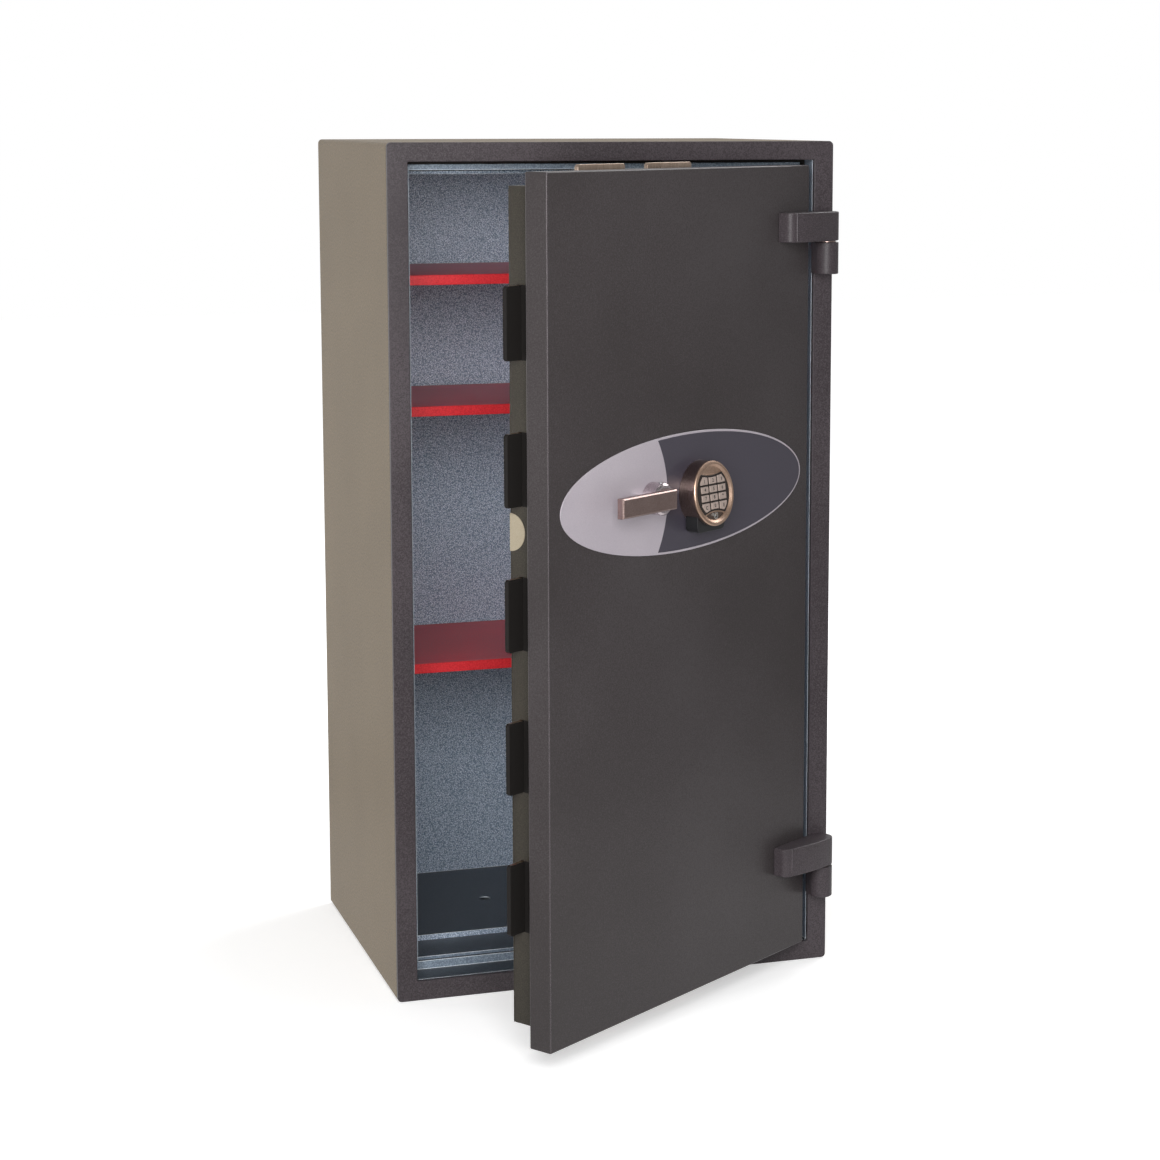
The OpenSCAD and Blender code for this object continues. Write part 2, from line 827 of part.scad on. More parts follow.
// Bowed bar on the door's face that ends in a knuckle over the hinge post
module hinge_arm(arm_z) {
    tip_r = 11;
    tip_x = hinge_x - arm_reach;
    bow_front = hinge_y - knuckle_r;
    bow_y = bow_front + arm_bow_r;
    tip_y = bow_y - sqrt(pow(arm_bow_r - tip_r, 2) - pow(arm_reach - tip_r, 2));
    color(steel_dark)
        on_door()
            difference() {
                union() {
                    post(hinge_x, hinge_y, arm_z, arm_z + arm_h, knuckle_r);
                    intersection() {
                        post(hinge_x, bow_y, arm_z, arm_z + arm_h, arm_bow_r);
                        union() {
                            translate([tip_x, tip_y, arm_z])
                                cube([arm_reach, front_y - tip_y, arm_h]);
                            translate([tip_x + tip_r, bow_front, arm_z])
                                cube([arm_reach - tip_r, front_y - bow_front, arm_h]);
                            post(tip_x + tip_r, tip_y, arm_z, arm_z + arm_h, tip_r);
                        }
                    }
                }
                // Space over the front frame
                slab(door_x + knuckle_gap, half_w, -knuckle_gap, 1, arm_z - 1, arm_z + arm_h + 1);
                post(hinge_x, hinge_y, arm_z - 1, arm_z + arm_h - pin_cap, hinge_pin_r + run_clear);
            }
}

module upper_hinge_arm() { hinge_arm(upper_arm_z); }
module lower_hinge_arm() { hinge_arm(lower_arm_z); }

// Oval outline about the plate's middle
oval_steps = 96;
function oval_points(inset) = [for (i = [0:oval_steps - 1])
    let (a = i * 360 / oval_steps)
        [oval_x + (oval_w / 2 - inset) * cos(a), oval_z + (oval_h / 2 - inset) * sin(a)]];

module oval_plate() {
    color("#aaa4aa")
        on_door()
            difference() {
                sheet(-oval_t, 0)
                    polygon(oval_points(0));
                rod(handle_x, handle_z, -oval_t - 1, 1, bush_r);
                rod(pad_x, pad_z, -oval_t - 1, 1, cable_hole_r);
            }
}

module oval_inlay() {
    front = -oval_t - inlay_t;
    bow_x = -inlay_edge - inlay_bow_r;
    color("#524f5a")
        on_door()
            difference() {
                sheet(front, -oval_t)
                    polygon(oval_points(oval_rim));
                rod(bow_x, oval_z, front - 1, 1, inlay_bow_r);
                slab(bow_x - oval_w, bow_x, front - 1, 1, oval_z - oval_h, oval_z + oval_h);
                rod(pad_x, pad_z, front - 1, 1, housing_r + hand_clear);
            }
}

module spindle_bush() {
    flange_t = 3;
    flange_over = 6;
    flange_r = spindle_r + bush_wall + flange_over;
    color("goldenrod")
        on_door()
            difference() {
                union() {
                    rod(handle_x, handle_z, -oval_t, door_t + flange_t, spindle_r + bush_wall);
                    rod(handle_x, handle_z, door_t, door_t + flange_t, flange_r);
                }
                rod(handle_x, handle_z, -oval_t - 1, door_t + flange_t + 1, spindle_r + run_clear);
            }
}

// Half of the label lies on the case's edge and half on its cover
module round_label() {
    label_t = 0.4;
    label_rise = 11;
    label_z = (side_bolt_zs[2] + side_bolt_zs[3]) / 2 + label_rise;
    color("#b8ad98")
        on_door() {
            intersection() {
                translate([-case_x - label_t, front_y + case_rear, label_z])
                    rotate([0, 90, 0])
                        cylinder(h = label_t, r = label_r);
                slab(-case_x - 1, -case_x, 0, case_rear, 0, body_h);
            }
            intersection() {
                rod(-case_x, label_z, case_rear, case_rear + label_t, label_r);
                slab(-case_x - label_t, case_x, case_rear, case_rear + 1, 0, body_h);
            }
        }
}

module guide_stud(x, z) {
    rod(x, z, door_t, bolt_back + stud_head_t + slide_clear, stud_r);
    rod(x, z, bolt_back + slide_clear, bolt_back + slide_clear + stud_head_t, stud_r + stud_head_over);
}

module guide_studs() {
    color("silver")
        on_door() {
            for (z = side_bolt_zs)
                guide_stud(-case_x + stud_in, z);
            for (x = end_bolt_xs) {
                guide_stud(x, case_z1 - stud_in);
                guide_stud(x, case_z0 + stud_in);
            }
        }
}

// Fixed plates that hold the hinge side of the shut door
module hinge_side_dogs() {
    foot = 34;
    color(bolt_steel)
        on_door()
            for (z = side_bolt_zs)
                slab(case_x - case_t - foot, case_x + dog_out, bolt_depth + dog_set, bolt_back + dog_set,
                    z - side_bolt_w / 2, z + side_bolt_w / 2);
}

// A bolt that points up, with its tip at the origin and its guide slot
module bolt_blade(w, travel) {
    slot_r = stud_r + slide_clear;
    slot_near = travel + stud_in;
    difference() {
        translate([-w / 2, 0, -bolt_len])
            cube([w, bolt_t, bolt_len]);
        for (side = [-1, 1])
            translate([side * w / 2, -1, 0])
                rotate([0, 45, 0])
                    translate([-bolt_chamfer, 0, -bolt_chamfer])
                        cube([2 * bolt_chamfer, bolt_t + 2, 2 * bolt_chamfer]);
        for (z = [-slot_near, -slot_near + travel])
            translate([0, -1, z])
                rotate([-90, 0, 0])
                    cylinder(h = bolt_t + 2, r = slot_r);
        translate([-slot_r, -1, -slot_near])
            cube([2 * slot_r, bolt_t + 2, travel]);
    }
}

side_tip_x = -case_x - bolt_throw;
side_bar_x = side_tip_x + bolt_throw + stud_in + bar_from_stud;
side_pin_x = handle_x + side_pin_ring * cos(side_pin_angle);
side_pin_z = handle_z + side_pin_ring * sin(side_pin_angle);

module side_bolts() {
    half_plate = pin_slot_r + pin_slot_wall;
    slot_low = handle_z - side_pin_ring - pin_slot_r;
    slot_high = side_pin_z + pin_slot_r;
    plate_low = slot_low - 2 * pin_slot_wall;
    arm_high = slot_high - 1.5 * pin_slot_wall;
    plate_high = slot_high + pin_slot_wall / 2;
    color(bolt_steel)
        on_door()
            difference() {
                union() {
                    for (z = side_bolt_zs)
                        translate([side_tip_x, front_y + bolt_depth, z])
                            rotate([0, -90, 0])
                                bolt_blade(side_bolt_w, bolt_throw);
                    slab(side_bar_x, side_bar_x + bar_w, bolt_back, bar_back,
                        side_bolt_zs[0] - side_bolt_w / 2, side_bolt_zs[4] + side_bolt_w / 2);
                    // Arm that reaches under the rods to the cam
                    slab(side_bar_x, side_bar_x + bar_w, bolt_depth, bolt_back, plate_low, arm_high);
                    slab(side_bar_x, side_pin_x + half_plate, bolt_depth, bolt_depth + arm_plate_t,
                        plate_low, arm_high);
                    slab(side_pin_x - half_plate, side_pin_x + half_plate,
                        bolt_depth, bolt_depth + arm_plate_t, plate_low, plate_high);
                }
                slot_z(side_pin_x, slot_low, slot_high, bolt_depth - 1, bolt_depth + arm_plate_t + 1,
                    pin_slot_r);
            }
}

// Two bolts on a cross bar, with a rod that reaches to the cam; up is 1 at the top and -1 at the bottom
module end_bolts(up, tip_z, rod_x, pin_z) {
    edge = tip_z - up * (end_throw + stud_in + bar_from_stud);
    rod_end = pin_z - up * (pin_slot_r + pin_slot_wall);
    slot_reach = end_pin_ring * (1 - cos(handle_turn / 2)) / 2 + pin_slot_r;
    difference() {
        union() {
            for (x = end_bolt_xs)
                translate([x, front_y + bolt_depth, tip_z])
                    mirror([0, 0, up > 0 ? 0 : 1])
                        bolt_blade(end_bolt_w, end_throw);
            slab(end_bolt_xs[0] - end_bolt_w / 2 + bar_set, end_bolt_xs[1] + end_bolt_w / 2 - bar_set,
                bolt_back, bar_back, min(edge, edge - up * bar_w), max(edge, edge - up * bar_w));
            slab(rod_x - bar_w / 2, rod_x + bar_w / 2, bolt_back, bar_back,
                min(edge, rod_end), max(edge, rod_end));
        }
        slot_x(rod_x - slot_reach, rod_x + slot_reach, pin_z, bolt_back - 1, bar_back + 1, pin_slot_r);
    }
}

module top_bolts() {
    color(bolt_steel)
        on_door()
            end_bolts(1, case_z1 + end_throw, top_rod_x, handle_z + end_pin_ring * sin(top_pin_angle));
}

module bottom_bolts() {
    color(bolt_steel)
        on_door() {
            end_bolts(-1, case_z0 - end_throw, bottom_rod_x,
                handle_z + end_pin_ring * sin(bottom_pin_angle));
            // Lug that the lock bolt stops
            slab(bottom_rod_x, lug_x, lock_bolt_t0, bar_back, lug_z1 - lug_h, lug_z1);
        }
}

// The handle's pieces
hub_gap = 0.4;
hub_front = 5;
spindle_gap = 0.5;
spindle_tail = 0.8;
hub_seat = oval_t + hub_gap;

module handle_hub() {
    color(satin_nickel)
        on_door()
            difference() {
                turned(handle_x, handle_z, [[0, hub_seat], [hub_r, hub_seat], [hub_r, hub_l - hub_chamfer],
                    [hub_r - hub_chamfer, hub_l], [0, hub_l]]);
                rod(handle_x, handle_z, hub_front - hub_l, 0, spindle_r + run_clear);
            }
}

module lever_bar() {
    x0 = handle_x - lever_l;
    x1 = handle_x + lever_h / 2;
    z0 = handle_z - lever_h / 2;
    z1 = handle_z + lever_h / 2;
    b = lever_bevel;
    color(satin_nickel)
        on_door()
            intersection() {
                slab(x0, x1, -hub_l - lever_t, -hub_l, z0, z1);
                // Bevelled along its length and at its ends
                translate([x0 - 1, front_y, z0])
                    rotate([90, 0, 90])
                        linear_extrude(x1 - x0 + 2)
                            polygon([[-hub_l, 0], [-hub_l, lever_h], [-hub_l - lever_t + b, lever_h],
                                [-hub_l - lever_t, lever_h - b], [-hub_l - lever_t, b],
                                [-hub_l - lever_t + b, 0]]);
                translate([0, front_y, z0 - 1])
                    linear_extrude(lever_h + 2)
                        polygon([[x0, -hub_l], [x0, -hub_l - lever_t + b], [x0 + b, -hub_l - lever_t],
                            [x1 - b, -hub_l - lever_t], [x1, -hub_l - lever_t + b], [x1, -hub_l]]);
            }
}

module handle_spindle() {
    color("silver")
        on_door()
            rod(handle_x, handle_z, hub_front + spindle_gap - hub_l, cam_back + spindle_tail, spindle_r);
}

module drive_cam() {
    color("goldenrod")
        on_door() {
            difference() {
                rod(handle_x, handle_z, cam_back - cam_t, cam_back, cam_r);
                rod(handle_x, handle_z, 0, cam_back + 1, spindle_r + run_clear);
            }
            cam_pin(side_pin_ring, side_pin_angle, bolt_depth + arm_plate_t + pin_proud);
            cam_pin(end_pin_ring, top_pin_angle, bar_back + 2 * pin_proud);
            cam_pin(end_pin_ring, bottom_pin_angle, bar_back + 2 * pin_proud);
        }
}

module cam_pin(ring, angle, end) {
    rod(handle_x + ring * cos(angle), handle_z + ring * sin(angle), cam_back - 1, end, cam_pin_r);
}

// Carries a piece to the keypad's tilted face; its own X and Z lie in the face
module on_face() {
    translate([pad_x, front_y - pad_d, pad_z])
        rotate([-pad_tilt, 0, 0])
            translate([0, -front_y, 0])
                children();
}

module keypad_housing() {
    bore_r = housing_r - housing_t;
    reach = 2 * pad_d;
    side_gap = 0.5;
    color(satin_nickel)
        on_door()
            difference() {
                turned(pad_x, pad_z, [[0, oval_t], [housing_r, oval_t], [housing_r, reach],
                    [bore_r, reach], [bore_r, pad_floor], [0, pad_floor]]);
                on_face()
                    slab(-reach, reach, -reach, 0, -reach, reach);
                rod(pad_x, pad_z, -pad_floor - 1, 0, cable_hole_r);
                slab(pad_x - drawer_w / 2 - side_gap, pad_x + drawer_w / 2 + side_gap,
                    drawer_front - side_gap, -pad_floor, drawer_z0 - 1, drawer_z1 + side_gap);
            }
}

// Disc or block on the keypad's face between two levels
module face_disc(x, z, n0, n1, r) {
    rod(x, z, -n1, -n0, r);
}

module face_slab(x0, x1, n0, n1, z0, z1) {
    slab(x0, x1, -n1, -n0, z0, z1);
}

module keypad_bezel() {
    spigot_gap = 1;
    spigot_r = housing_r - housing_t - spigot_gap;
    color("#9c8471")
        on_door()
            on_face()
                difference() {
                    union() {
                        turned(0, 0, [[bezel_in, plate_back], [spigot_r, plate_back], [spigot_r, 0],
                            [bezel_r, 0], [bezel_r, bezel_t - 2], [bezel_r - 1, bezel_t - 0.6],
                            [bezel_r - 2.8, bezel_t], [bezel_r - 4.4, bezel_t - 0.3],
                            [bezel_in, plate_front]]);
                        face_disc(0, 0, plate_back, plate_front, bezel_in + 1);
                    }
                    key_field(plate_back - 1, bezel_t, hand_clear);
                    // Shallow crescents above and below the keys
                    intersection() {
                        face_disc(0, 0, 0, bezel_t, bezel_in - 1);
                        face_disc(0, brow_foot + brow_gap + brow_bow_r, 0, bezel_t, brow_bow_r);
                    }
                    intersection() {
                        face_disc(0, 0, recess_floor, bezel_t, bezel_in - 1);
                        face_disc(0, lip_top - 2 - crescent_r, recess_floor, bezel_t, crescent_r);
                    }
                    face_disc(0, led_z, plate_back - 1, 0, led_r + hand_clear);
                }
}

// Outline of the black frame between the keys
module key_field(n0, n1, grow) {
    difference() {
        face_disc(0, 0, n0, n1, key_frame_r + grow);
        face_disc(0, brow_foot + brow_bow_r + grow, n0 - 1, n1 + 1, brow_bow_r);
        face_disc(0, lip_top - crescent_r - grow, n0 - 1, n1 + 1, crescent_r);
    }
}

module key_shape(col, row, n0, n1, grow) {
    x = (col - 1) * key_pitch_x;
    z = key_rise + (1.5 - row) * key_pitch_z;
    half_x = (key_pitch_x - key_gap_x) / 2 + grow;
    half_z = (key_pitch_z - key_gap_z) / 2 + grow;
    head = row == 0 ? key_head : 0;
    foot = row == 3 ? key_foot : 0;
    difference() {
        intersection() {
            face_slab(x - half_x, x + half_x, n0, n1, z - half_z - foot, z + half_z + head);
            face_disc(0, 0, n0, n1, key_clip_r + grow);
        }
        face_disc(0, brow_foot + brow_bow_r + grow, n0 - 1, n1 + 1, brow_bow_r + key_margin_top);
        face_disc(0, crescent_top - crescent_r - grow, n0 - 1, n1 + 1, crescent_r);
    }
}

module key_frame() {
    key_fit = 0.3;
    color(black_plastic)
        on_door()
            on_face()
                difference() {
                    key_field(frame_back, frame_front, 0);
                    for (col = [0:2], row = [0:3])
                        key_shape(col, row, frame_back - 1, frame_front + 1, key_fit);
                }
}

module key(col, row) {
    color("#b5aeaa")
        on_door()
            on_face()
                key_shape(col, row, key_back, key_out, 0);
}

module key_1() { key(0, 0); }
module key_2() { key(1, 0); }
module key_3() { key(2, 0); }
module key_4() { key(0, 1); }
module key_5() { key(1, 1); }
module key_6() { key(2, 1); }
module key_7() { key(0, 2); }
module key_8() { key(1, 2); }
module key_9() { key(2, 2); }
module key_clear() { key(0, 3); }
module key_0() { key(1, 3); }
module key_enter() { key(2, 3); }

// Round sheet behind the keys, cut straight above the battery
module key_sheet(front, t, r) {
    on_door()
        on_face()
            intersection() {
                face_disc(0, 0, front - t, front, r);
                face_slab(-r, r, front - t, front, board_low, r);
            }
}

module key_membrane() {
    color("gray")
        key_sheet(membrane_front, membrane_t, board_r);
}

module keypad_board() {
    color("darkgreen")
        key_sheet(board_front, board_t, board_r);
}

// Lamp in the lower crescent, with a U-shaped trim around it
module status_led() {
    trim_r = 4.6;
    trim_w = 1.2;
    trim_top = 1.4;
    arm = 3.5;
    color("silver")
        on_door()
            on_face() {
                difference() {
                    union() {
                        face_disc(0, led_z, recess_floor, trim_top, trim_r);
                        face_slab(-trim_r, trim_r, recess_floor, trim_top, led_z, led_z + arm);
                    }
                    face_disc(0, led_z, recess_floor - 1, trim_top + 1, trim_r - trim_w);
                    face_slab(trim_w - trim_r, trim_r - trim_w, recess_floor - 1, trim_top + 1,
                        led_z, led_z + trim_r + 1);
                    face_slab(-trim_r, trim_r, recess_floor - 1, trim_top + 1,
                        led_z + arm, led_z + trim_r + 1);
                }
                face_disc(0, led_z, plate_back, recess_floor + 1, led_r);
            }
}

module battery_drawer() {
    x0 = pad_x - drawer_w / 2;
    x1 = pad_x + drawer_w / 2;
    room = battery_l / 2 + hand_clear;
    color(black_plastic)
        on_door()
            difference() {
                union() {
                    sheet(drawer_front, drawer_back)
                        round_rect(x0, x1, drawer_z0, drawer_z1, drawer_corner);
                    slab(x0, x1, drawer_front, drawer_back, drawer_z1 - drawer_corner, drawer_z1);
                }
                slab(pad_x - room, pad_x + room, drawer_front + drawer_wall, drawer_back - drawer_wall,
                    drawer_z0 + drawer_wall, drawer_z1 + 1);
            }
}

module battery() {
    t0 = drawer_front + drawer_wall + hand_clear;
    z0 = drawer_z0 + drawer_wall;
    color("gray")
        on_door()
            slab(pad_x - battery_l / 2, pad_x + battery_l / 2, t0, t0 + battery_t, z0, z0 + battery_w);
}

// Cable from the keypad's board through the door and down to the lock
module keypad_cable() {
    bend_r = 8;
    turn_back = 6;
    board_clear = 0.4;
    turn_t = door_t + turn_back;
    start_t = board_t - board_front - pad_d + board_clear;
    color(black_plastic)
        on_door() {
            rod(pad_x, pad_z, start_t, turn_t, cable_r);
            translate([pad_x, front_y + turn_t, pad_z - bend_r])
                rotate([0, 90, 0])
                    rotate_extrude(angle = 90, start = 90)
                        translate([bend_r, 0])
                            circle(cable_r);
            post(pad_x, front_y + turn_t + bend_r, lock_z1, pad_z - bend_r, cable_r);
        }
}

module lock_case() {
    color("silver")
        on_door()
            difference() {
                slab(lock_x0, lock_x0 + lock_w, door_t, door_t + lock_d, lock_z1 - lock_h, lock_z1);
                slab(lock_x0 - 1, lock_bolt_x1 + lock_throw + lock_bolt_end,
                    lock_bolt_t0 - lock_bolt_gap, lock_bolt_t0 + lock_bolt_t + lock_bolt_gap,
                    lock_bolt_z - lock_bolt_h / 2 - lock_bolt_gap,
                    lock_bolt_z + lock_bolt_h / 2 + lock_bolt_gap);
            }
}

module lock_bolt() {
    color("goldenrod")
        on_door()
            slab(lock_bolt_x0, lock_bolt_x1, lock_bolt_t0, lock_bolt_t0 + lock_bolt_t,
                lock_bolt_z - lock_bolt_h / 2, lock_bolt_z + lock_bolt_h / 2);
}

outer_shell();
back_plate();
front_frame();
rebate_frame();
body_infill();
inner_liner();
shelf_strips();
shelf_clips();
top_shelf();
middle_shelf();
bottom_shelf();
floor_sleeves();
hinge_posts();
hinge_pins();
hinge_washers();
door_plate();
door_infill();
door_back_plate();
boltwork_case();
boltwork_cover();
cover_screws();
upper_hinge_arm();
lower_hinge_arm();
oval_plate();
oval_inlay();
spindle_bush();
keypad_housing();
keypad_bezel();
key_frame();
keypad_board();
key_membrane();
status_led();
keypad_cable();
lock_case();
hard_plate();
guide_studs();
hinge_side_dogs();
round_label();
lever_bar();
handle_hub();
handle_spindle();
drive_cam();
side_bolts();
top_bolts();
bottom_bolts();
lock_bolt();
battery_drawer();
battery();
key_1();
key_2();
key_3();
key_4();
key_5();
key_6();
key_7();
key_8();
key_9();
key_clear();
key_0();
key_enter();
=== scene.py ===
import math
import bmesh
import bpy
from mathutils import Matrix, Vector


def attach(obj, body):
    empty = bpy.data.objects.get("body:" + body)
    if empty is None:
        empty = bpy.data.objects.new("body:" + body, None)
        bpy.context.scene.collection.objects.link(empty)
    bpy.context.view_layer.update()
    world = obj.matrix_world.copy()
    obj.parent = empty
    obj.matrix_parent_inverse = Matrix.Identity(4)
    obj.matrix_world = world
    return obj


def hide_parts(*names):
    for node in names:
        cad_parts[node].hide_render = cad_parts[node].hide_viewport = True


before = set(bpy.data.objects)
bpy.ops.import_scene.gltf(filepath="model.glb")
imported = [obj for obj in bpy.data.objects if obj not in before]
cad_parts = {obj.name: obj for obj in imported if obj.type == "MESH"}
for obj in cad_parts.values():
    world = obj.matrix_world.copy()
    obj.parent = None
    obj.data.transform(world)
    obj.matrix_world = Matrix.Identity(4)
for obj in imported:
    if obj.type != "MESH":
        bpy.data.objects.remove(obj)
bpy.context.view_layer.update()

# Lengths are in millimetres and angles in degrees, unless a note says otherwise
mm = 0.001
turn = math.radians

# Where the door and the keypad's face stand, as in the part's source
frontY = -237.5
hinge = {"x": 299.0, "y": -256.5, "open": 34.3}
pad = {"x": 24.5, "z": 713.5, "out": 25.7, "tilt": 7.2}
doorPlace = (Matrix.Translation(Vector((hinge["x"], hinge["y"], 0)) * mm)
             @ Matrix.Rotation(turn(hinge["open"]), 4, "Z")
             @ Matrix.Translation(Vector((-hinge["x"], -hinge["y"], 0)) * mm))
padPlace = (doorPlace @ Matrix.Translation(Vector((pad["x"], frontY - pad["out"], pad["z"])) * mm)
            @ Matrix.Rotation(turn(-pad["tilt"]), 4, "X"))

# Camera at the photograph's viewing angle, its place in metres
view = {"place": (-1.0378, -3.5425, 1.2045), "pitch": 7.765, "yaw": 17.915, "lens": 79.248,
        "shift": (-0.05, -0.10)}
cameraData = bpy.data.cameras.new("photoCamera")
cameraData.lens = view["lens"]
cameraData.sensor_width = 36
cameraData.shift_x, cameraData.shift_y = view["shift"]
camera = bpy.data.objects.new("photoCamera", cameraData)
camera.location = view["place"]
camera.rotation_euler = (turn(90 - view["pitch"]), 0, turn(-view["yaw"]))
bpy.context.scene.collection.objects.link(camera)
bpy.context.scene.camera = camera


def colour(code):
    # sRGB hex to the linear values that a shader takes
    parts = [int(code[i:i + 2], 16) / 255 for i in (1, 3, 5)]
    return [p / 12.92 if p <= 0.04045 else ((p + 0.055) / 1.055) ** 2.4 for p in parts] + [1.0]


def addNode(tree, kind, settings=None, links=None):
    # Settings go to the node's sockets or its own fields, and "stops" to a colour ramp
    node = tree.nodes.new("ShaderNode" + kind)
    for key, value in (settings or {}).items():
        if key == "stops":
            while len(node.color_ramp.elements) < len(value):
                node.color_ramp.elements.new(0.5)
            for stop, (place, shade) in zip(node.color_ramp.elements, value):
                stop.position = place
                stop.color = colour(shade) if isinstance(shade, str) else (shade, shade, shade, 1)
        elif isinstance(key, int) or key in node.inputs:
            node.inputs[key].default_value = value
        else:
            setattr(node, key, value)
    for key, source in (links or {}).items():
        tree.links.new(source, node.inputs[key])
    return node


def startMaterial(name, settings):
    # An empty material with its shader and output in place
    material = bpy.data.materials.new(name)
    material.use_nodes = True
    tree = material.node_tree
    tree.nodes.clear()
    shader = addNode(tree, "BsdfPrincipled", settings)
    addNode(tree, "OutputMaterial", None, {"Surface": shader.outputs["BSDF"]})
    return material, tree, shader


def addRelief(tree, shader, finish, swing, grain, height, tall):
    # The grain varies the gloss by the swing, and the height stands up as a fine relief
    sheen = addNode(tree, "MapRange", {"To Min": finish["rough"] - swing, "To Max": finish["rough"] + swing},
                    {"Value": grain})
    tree.links.new(sheen.outputs[0], shader.inputs["Roughness"])
    bump = addNode(tree, "Bump", {"Strength": finish["bump"], "Distance": tall * mm}, {"Height": height})
    tree.links.new(bump.outputs[0], shader.inputs["Normal"])


# Paint: half width of its colour ramp, swing of its gloss, height of its grain as a share of its size, and
# the bends at which the edges' wear and painted highlight start and are full
paintGrain = {"spread": 0.16, "swing": 0.06, "tallShare": 0.3, "wearAndShineStart": 0.99, "wornAndShining": 0.8}


def paintedSteel(name, coat):
    # Powder coat baked on sheet steel: a matt grain, slow clouds of tone, and paler edges, partly rub wear
    # and partly painted highlight
    material, tree, shader = startMaterial(name, {"IOR": 1.5, "Specular IOR Level": coat["gloss"]})
    place = addNode(tree, "TexCoord").outputs["Object"]
    grain = addNode(tree, "TexNoise", {"Scale": 1 / (coat["grain"] * mm), "Detail": 3.0, "Roughness": 0.6},
                    {"Vector": place})
    cloud = addNode(tree, "TexNoise", {"Scale": 1 / (coat["cloud"] * mm), "Detail": 2.0}, {"Vector": place})
    mixed = addNode(tree, "Math", {"operation": "MULTIPLY_ADD", 1: coat["cloudShare"]},
                    {0: cloud.outputs[0], 2: grain.outputs[0]})
    middle = 0.5 + 0.5 * coat["cloudShare"]
    stops = [(middle - paintGrain["spread"], coat["dark"]), (middle, coat["base"]),
             (middle + paintGrain["spread"], coat["pale"])]
    shade = addNode(tree, "ValToRGB", {"stops": stops}, {0: mixed.outputs[0]})
    rounded = addNode(tree, "Bevel", {"samples": 4, "Radius": coat["rubAndShineWidth"] * mm})
    face = addNode(tree, "NewGeometry")
    bend = addNode(tree, "VectorMath", {"operation": "DOT_PRODUCT"},
                   {0: rounded.outputs[0], 1: face.outputs["Normal"]})
    # Edges turn paler: rub wear, and where the edge colour is bright, a painted highlight
    wearAndShineMask = addNode(tree, "MapRange", {"From Min": paintGrain["wearAndShineStart"], "From Max": paintGrain["wornAndShining"],
                                     "To Min": 0.0, "To Max": coat["wearAndShine"]}, {"Value": bend.outputs["Value"]})
    wornAndShining = addNode(tree, "Mix", {"data_type": "RGBA", 7: colour(coat["wornAndShining"])},
                   {0: wearAndShineMask.outputs[0], 6: shade.outputs["Color"]})
    tree.links.new(wornAndShining.outputs[2], shader.inputs["Base Color"])
    addRelief(tree, shader, coat, paintGrain["swing"], grain.outputs[0], grain.outputs[0],
              coat["grain"] * paintGrain["tallShare"])
    return material


# Hammer-effect enamel: places on its colour ramp, weight of its cells, swing of its gloss, and height of the
# cells as a share of their size
hammerGrain = {"stops": (0.18, 0.34, 0.48), "cells": -0.4, "swing": -0.1, "tallShare": 0.25}


def hammeredPaint(name, coat):
    # Hammer-effect enamel: pale cells that catch the light in a darker blue-grey net
    material, tree, shader = startMaterial(name, {"IOR": 1.5, "Specular IOR Level": 0.7})
    place = addNode(tree, "TexCoord").outputs["Object"]
    cells = addNode(tree, "TexVoronoi", {"feature": "SMOOTH_F1", "Scale": 1 / (coat["cell"] * mm),
                                         "Smoothness": 0.6}, {"Vector": place})
    grain = addNode(tree, "TexNoise", {"Scale": 1 / (coat["grain"] * mm), "Detail": 2.0}, {"Vector": place})
    mixed = addNode(tree, "Math", {"operation": "MULTIPLY_ADD", 1: hammerGrain["cells"]},
                    {0: cells.outputs["Distance"], 2: grain.outputs[0]})
    stops = list(zip(hammerGrain["stops"], (coat["dark"], coat["base"], coat["pale"])))
    shade = addNode(tree, "ValToRGB", {"stops": stops}, {0: mixed.outputs[0]})
    tree.links.new(shade.outputs["Color"], shader.inputs["Base Color"])
    addRelief(tree, shader, coat, hammerGrain["swing"], grain.outputs[0], mixed.outputs[0],
              coat["cell"] * hammerGrain["tallShare"])
    return material


# Brushed metal: places on its colour ramp, share of its clouds, swing of its gloss, height of its streaks
beltGrain = {"stops": (0.5, 0.7, 0.9), "clouds": 0.4, "swing": 0.07, "tall": 0.02}


def brushedMetal(name, metal):
    # Metal finished with an abrasive belt: fine streaks one way, which draw the highlight out
    material, tree, shader = startMaterial(name, {"Metallic": metal.get("metallic", 1.0)})
    place = addNode(tree, "TexCoord").outputs["Object"]
    turned = addNode(tree, "Mapping", {"Rotation": (0, 0, turn(-hinge["open"])), "Scale": metal["stretch"]},
                     {"Vector": place})
    streak = addNode(tree, "TexNoise", {"Scale": 1 / (metal["streak"] * mm), "Detail": 4.0,
                                        "Roughness": 0.65}, {"Vector": turned.outputs[0]})
    cloud = addNode(tree, "TexNoise", {"Scale": 1 / (metal["cloud"] * mm), "Detail": 2.0}, {"Vector": place})
    mixed = addNode(tree, "Math", {"operation": "MULTIPLY_ADD", 1: beltGrain["clouds"]},
                    {0: cloud.outputs[0], 2: streak.outputs[0]})
    stops = list(zip(beltGrain["stops"], (metal["dark"], metal["base"], metal["pale"])))
    shade = addNode(tree, "ValToRGB", {"stops": stops}, {0: mixed.outputs[0]})
    tree.links.new(shade.outputs["Color"], shader.inputs["Base Color"])
    addRelief(tree, shader, metal, beltGrain["swing"], streak.outputs[0], streak.outputs[0],
              beltGrain["tall"])
    return material


# Moulded plastic: places on its colour ramp, swing of its gloss, and height of its grain
mouldGrain = {"stops": (0.3, 0.7), "swing": 0.06, "tall": 0.05}


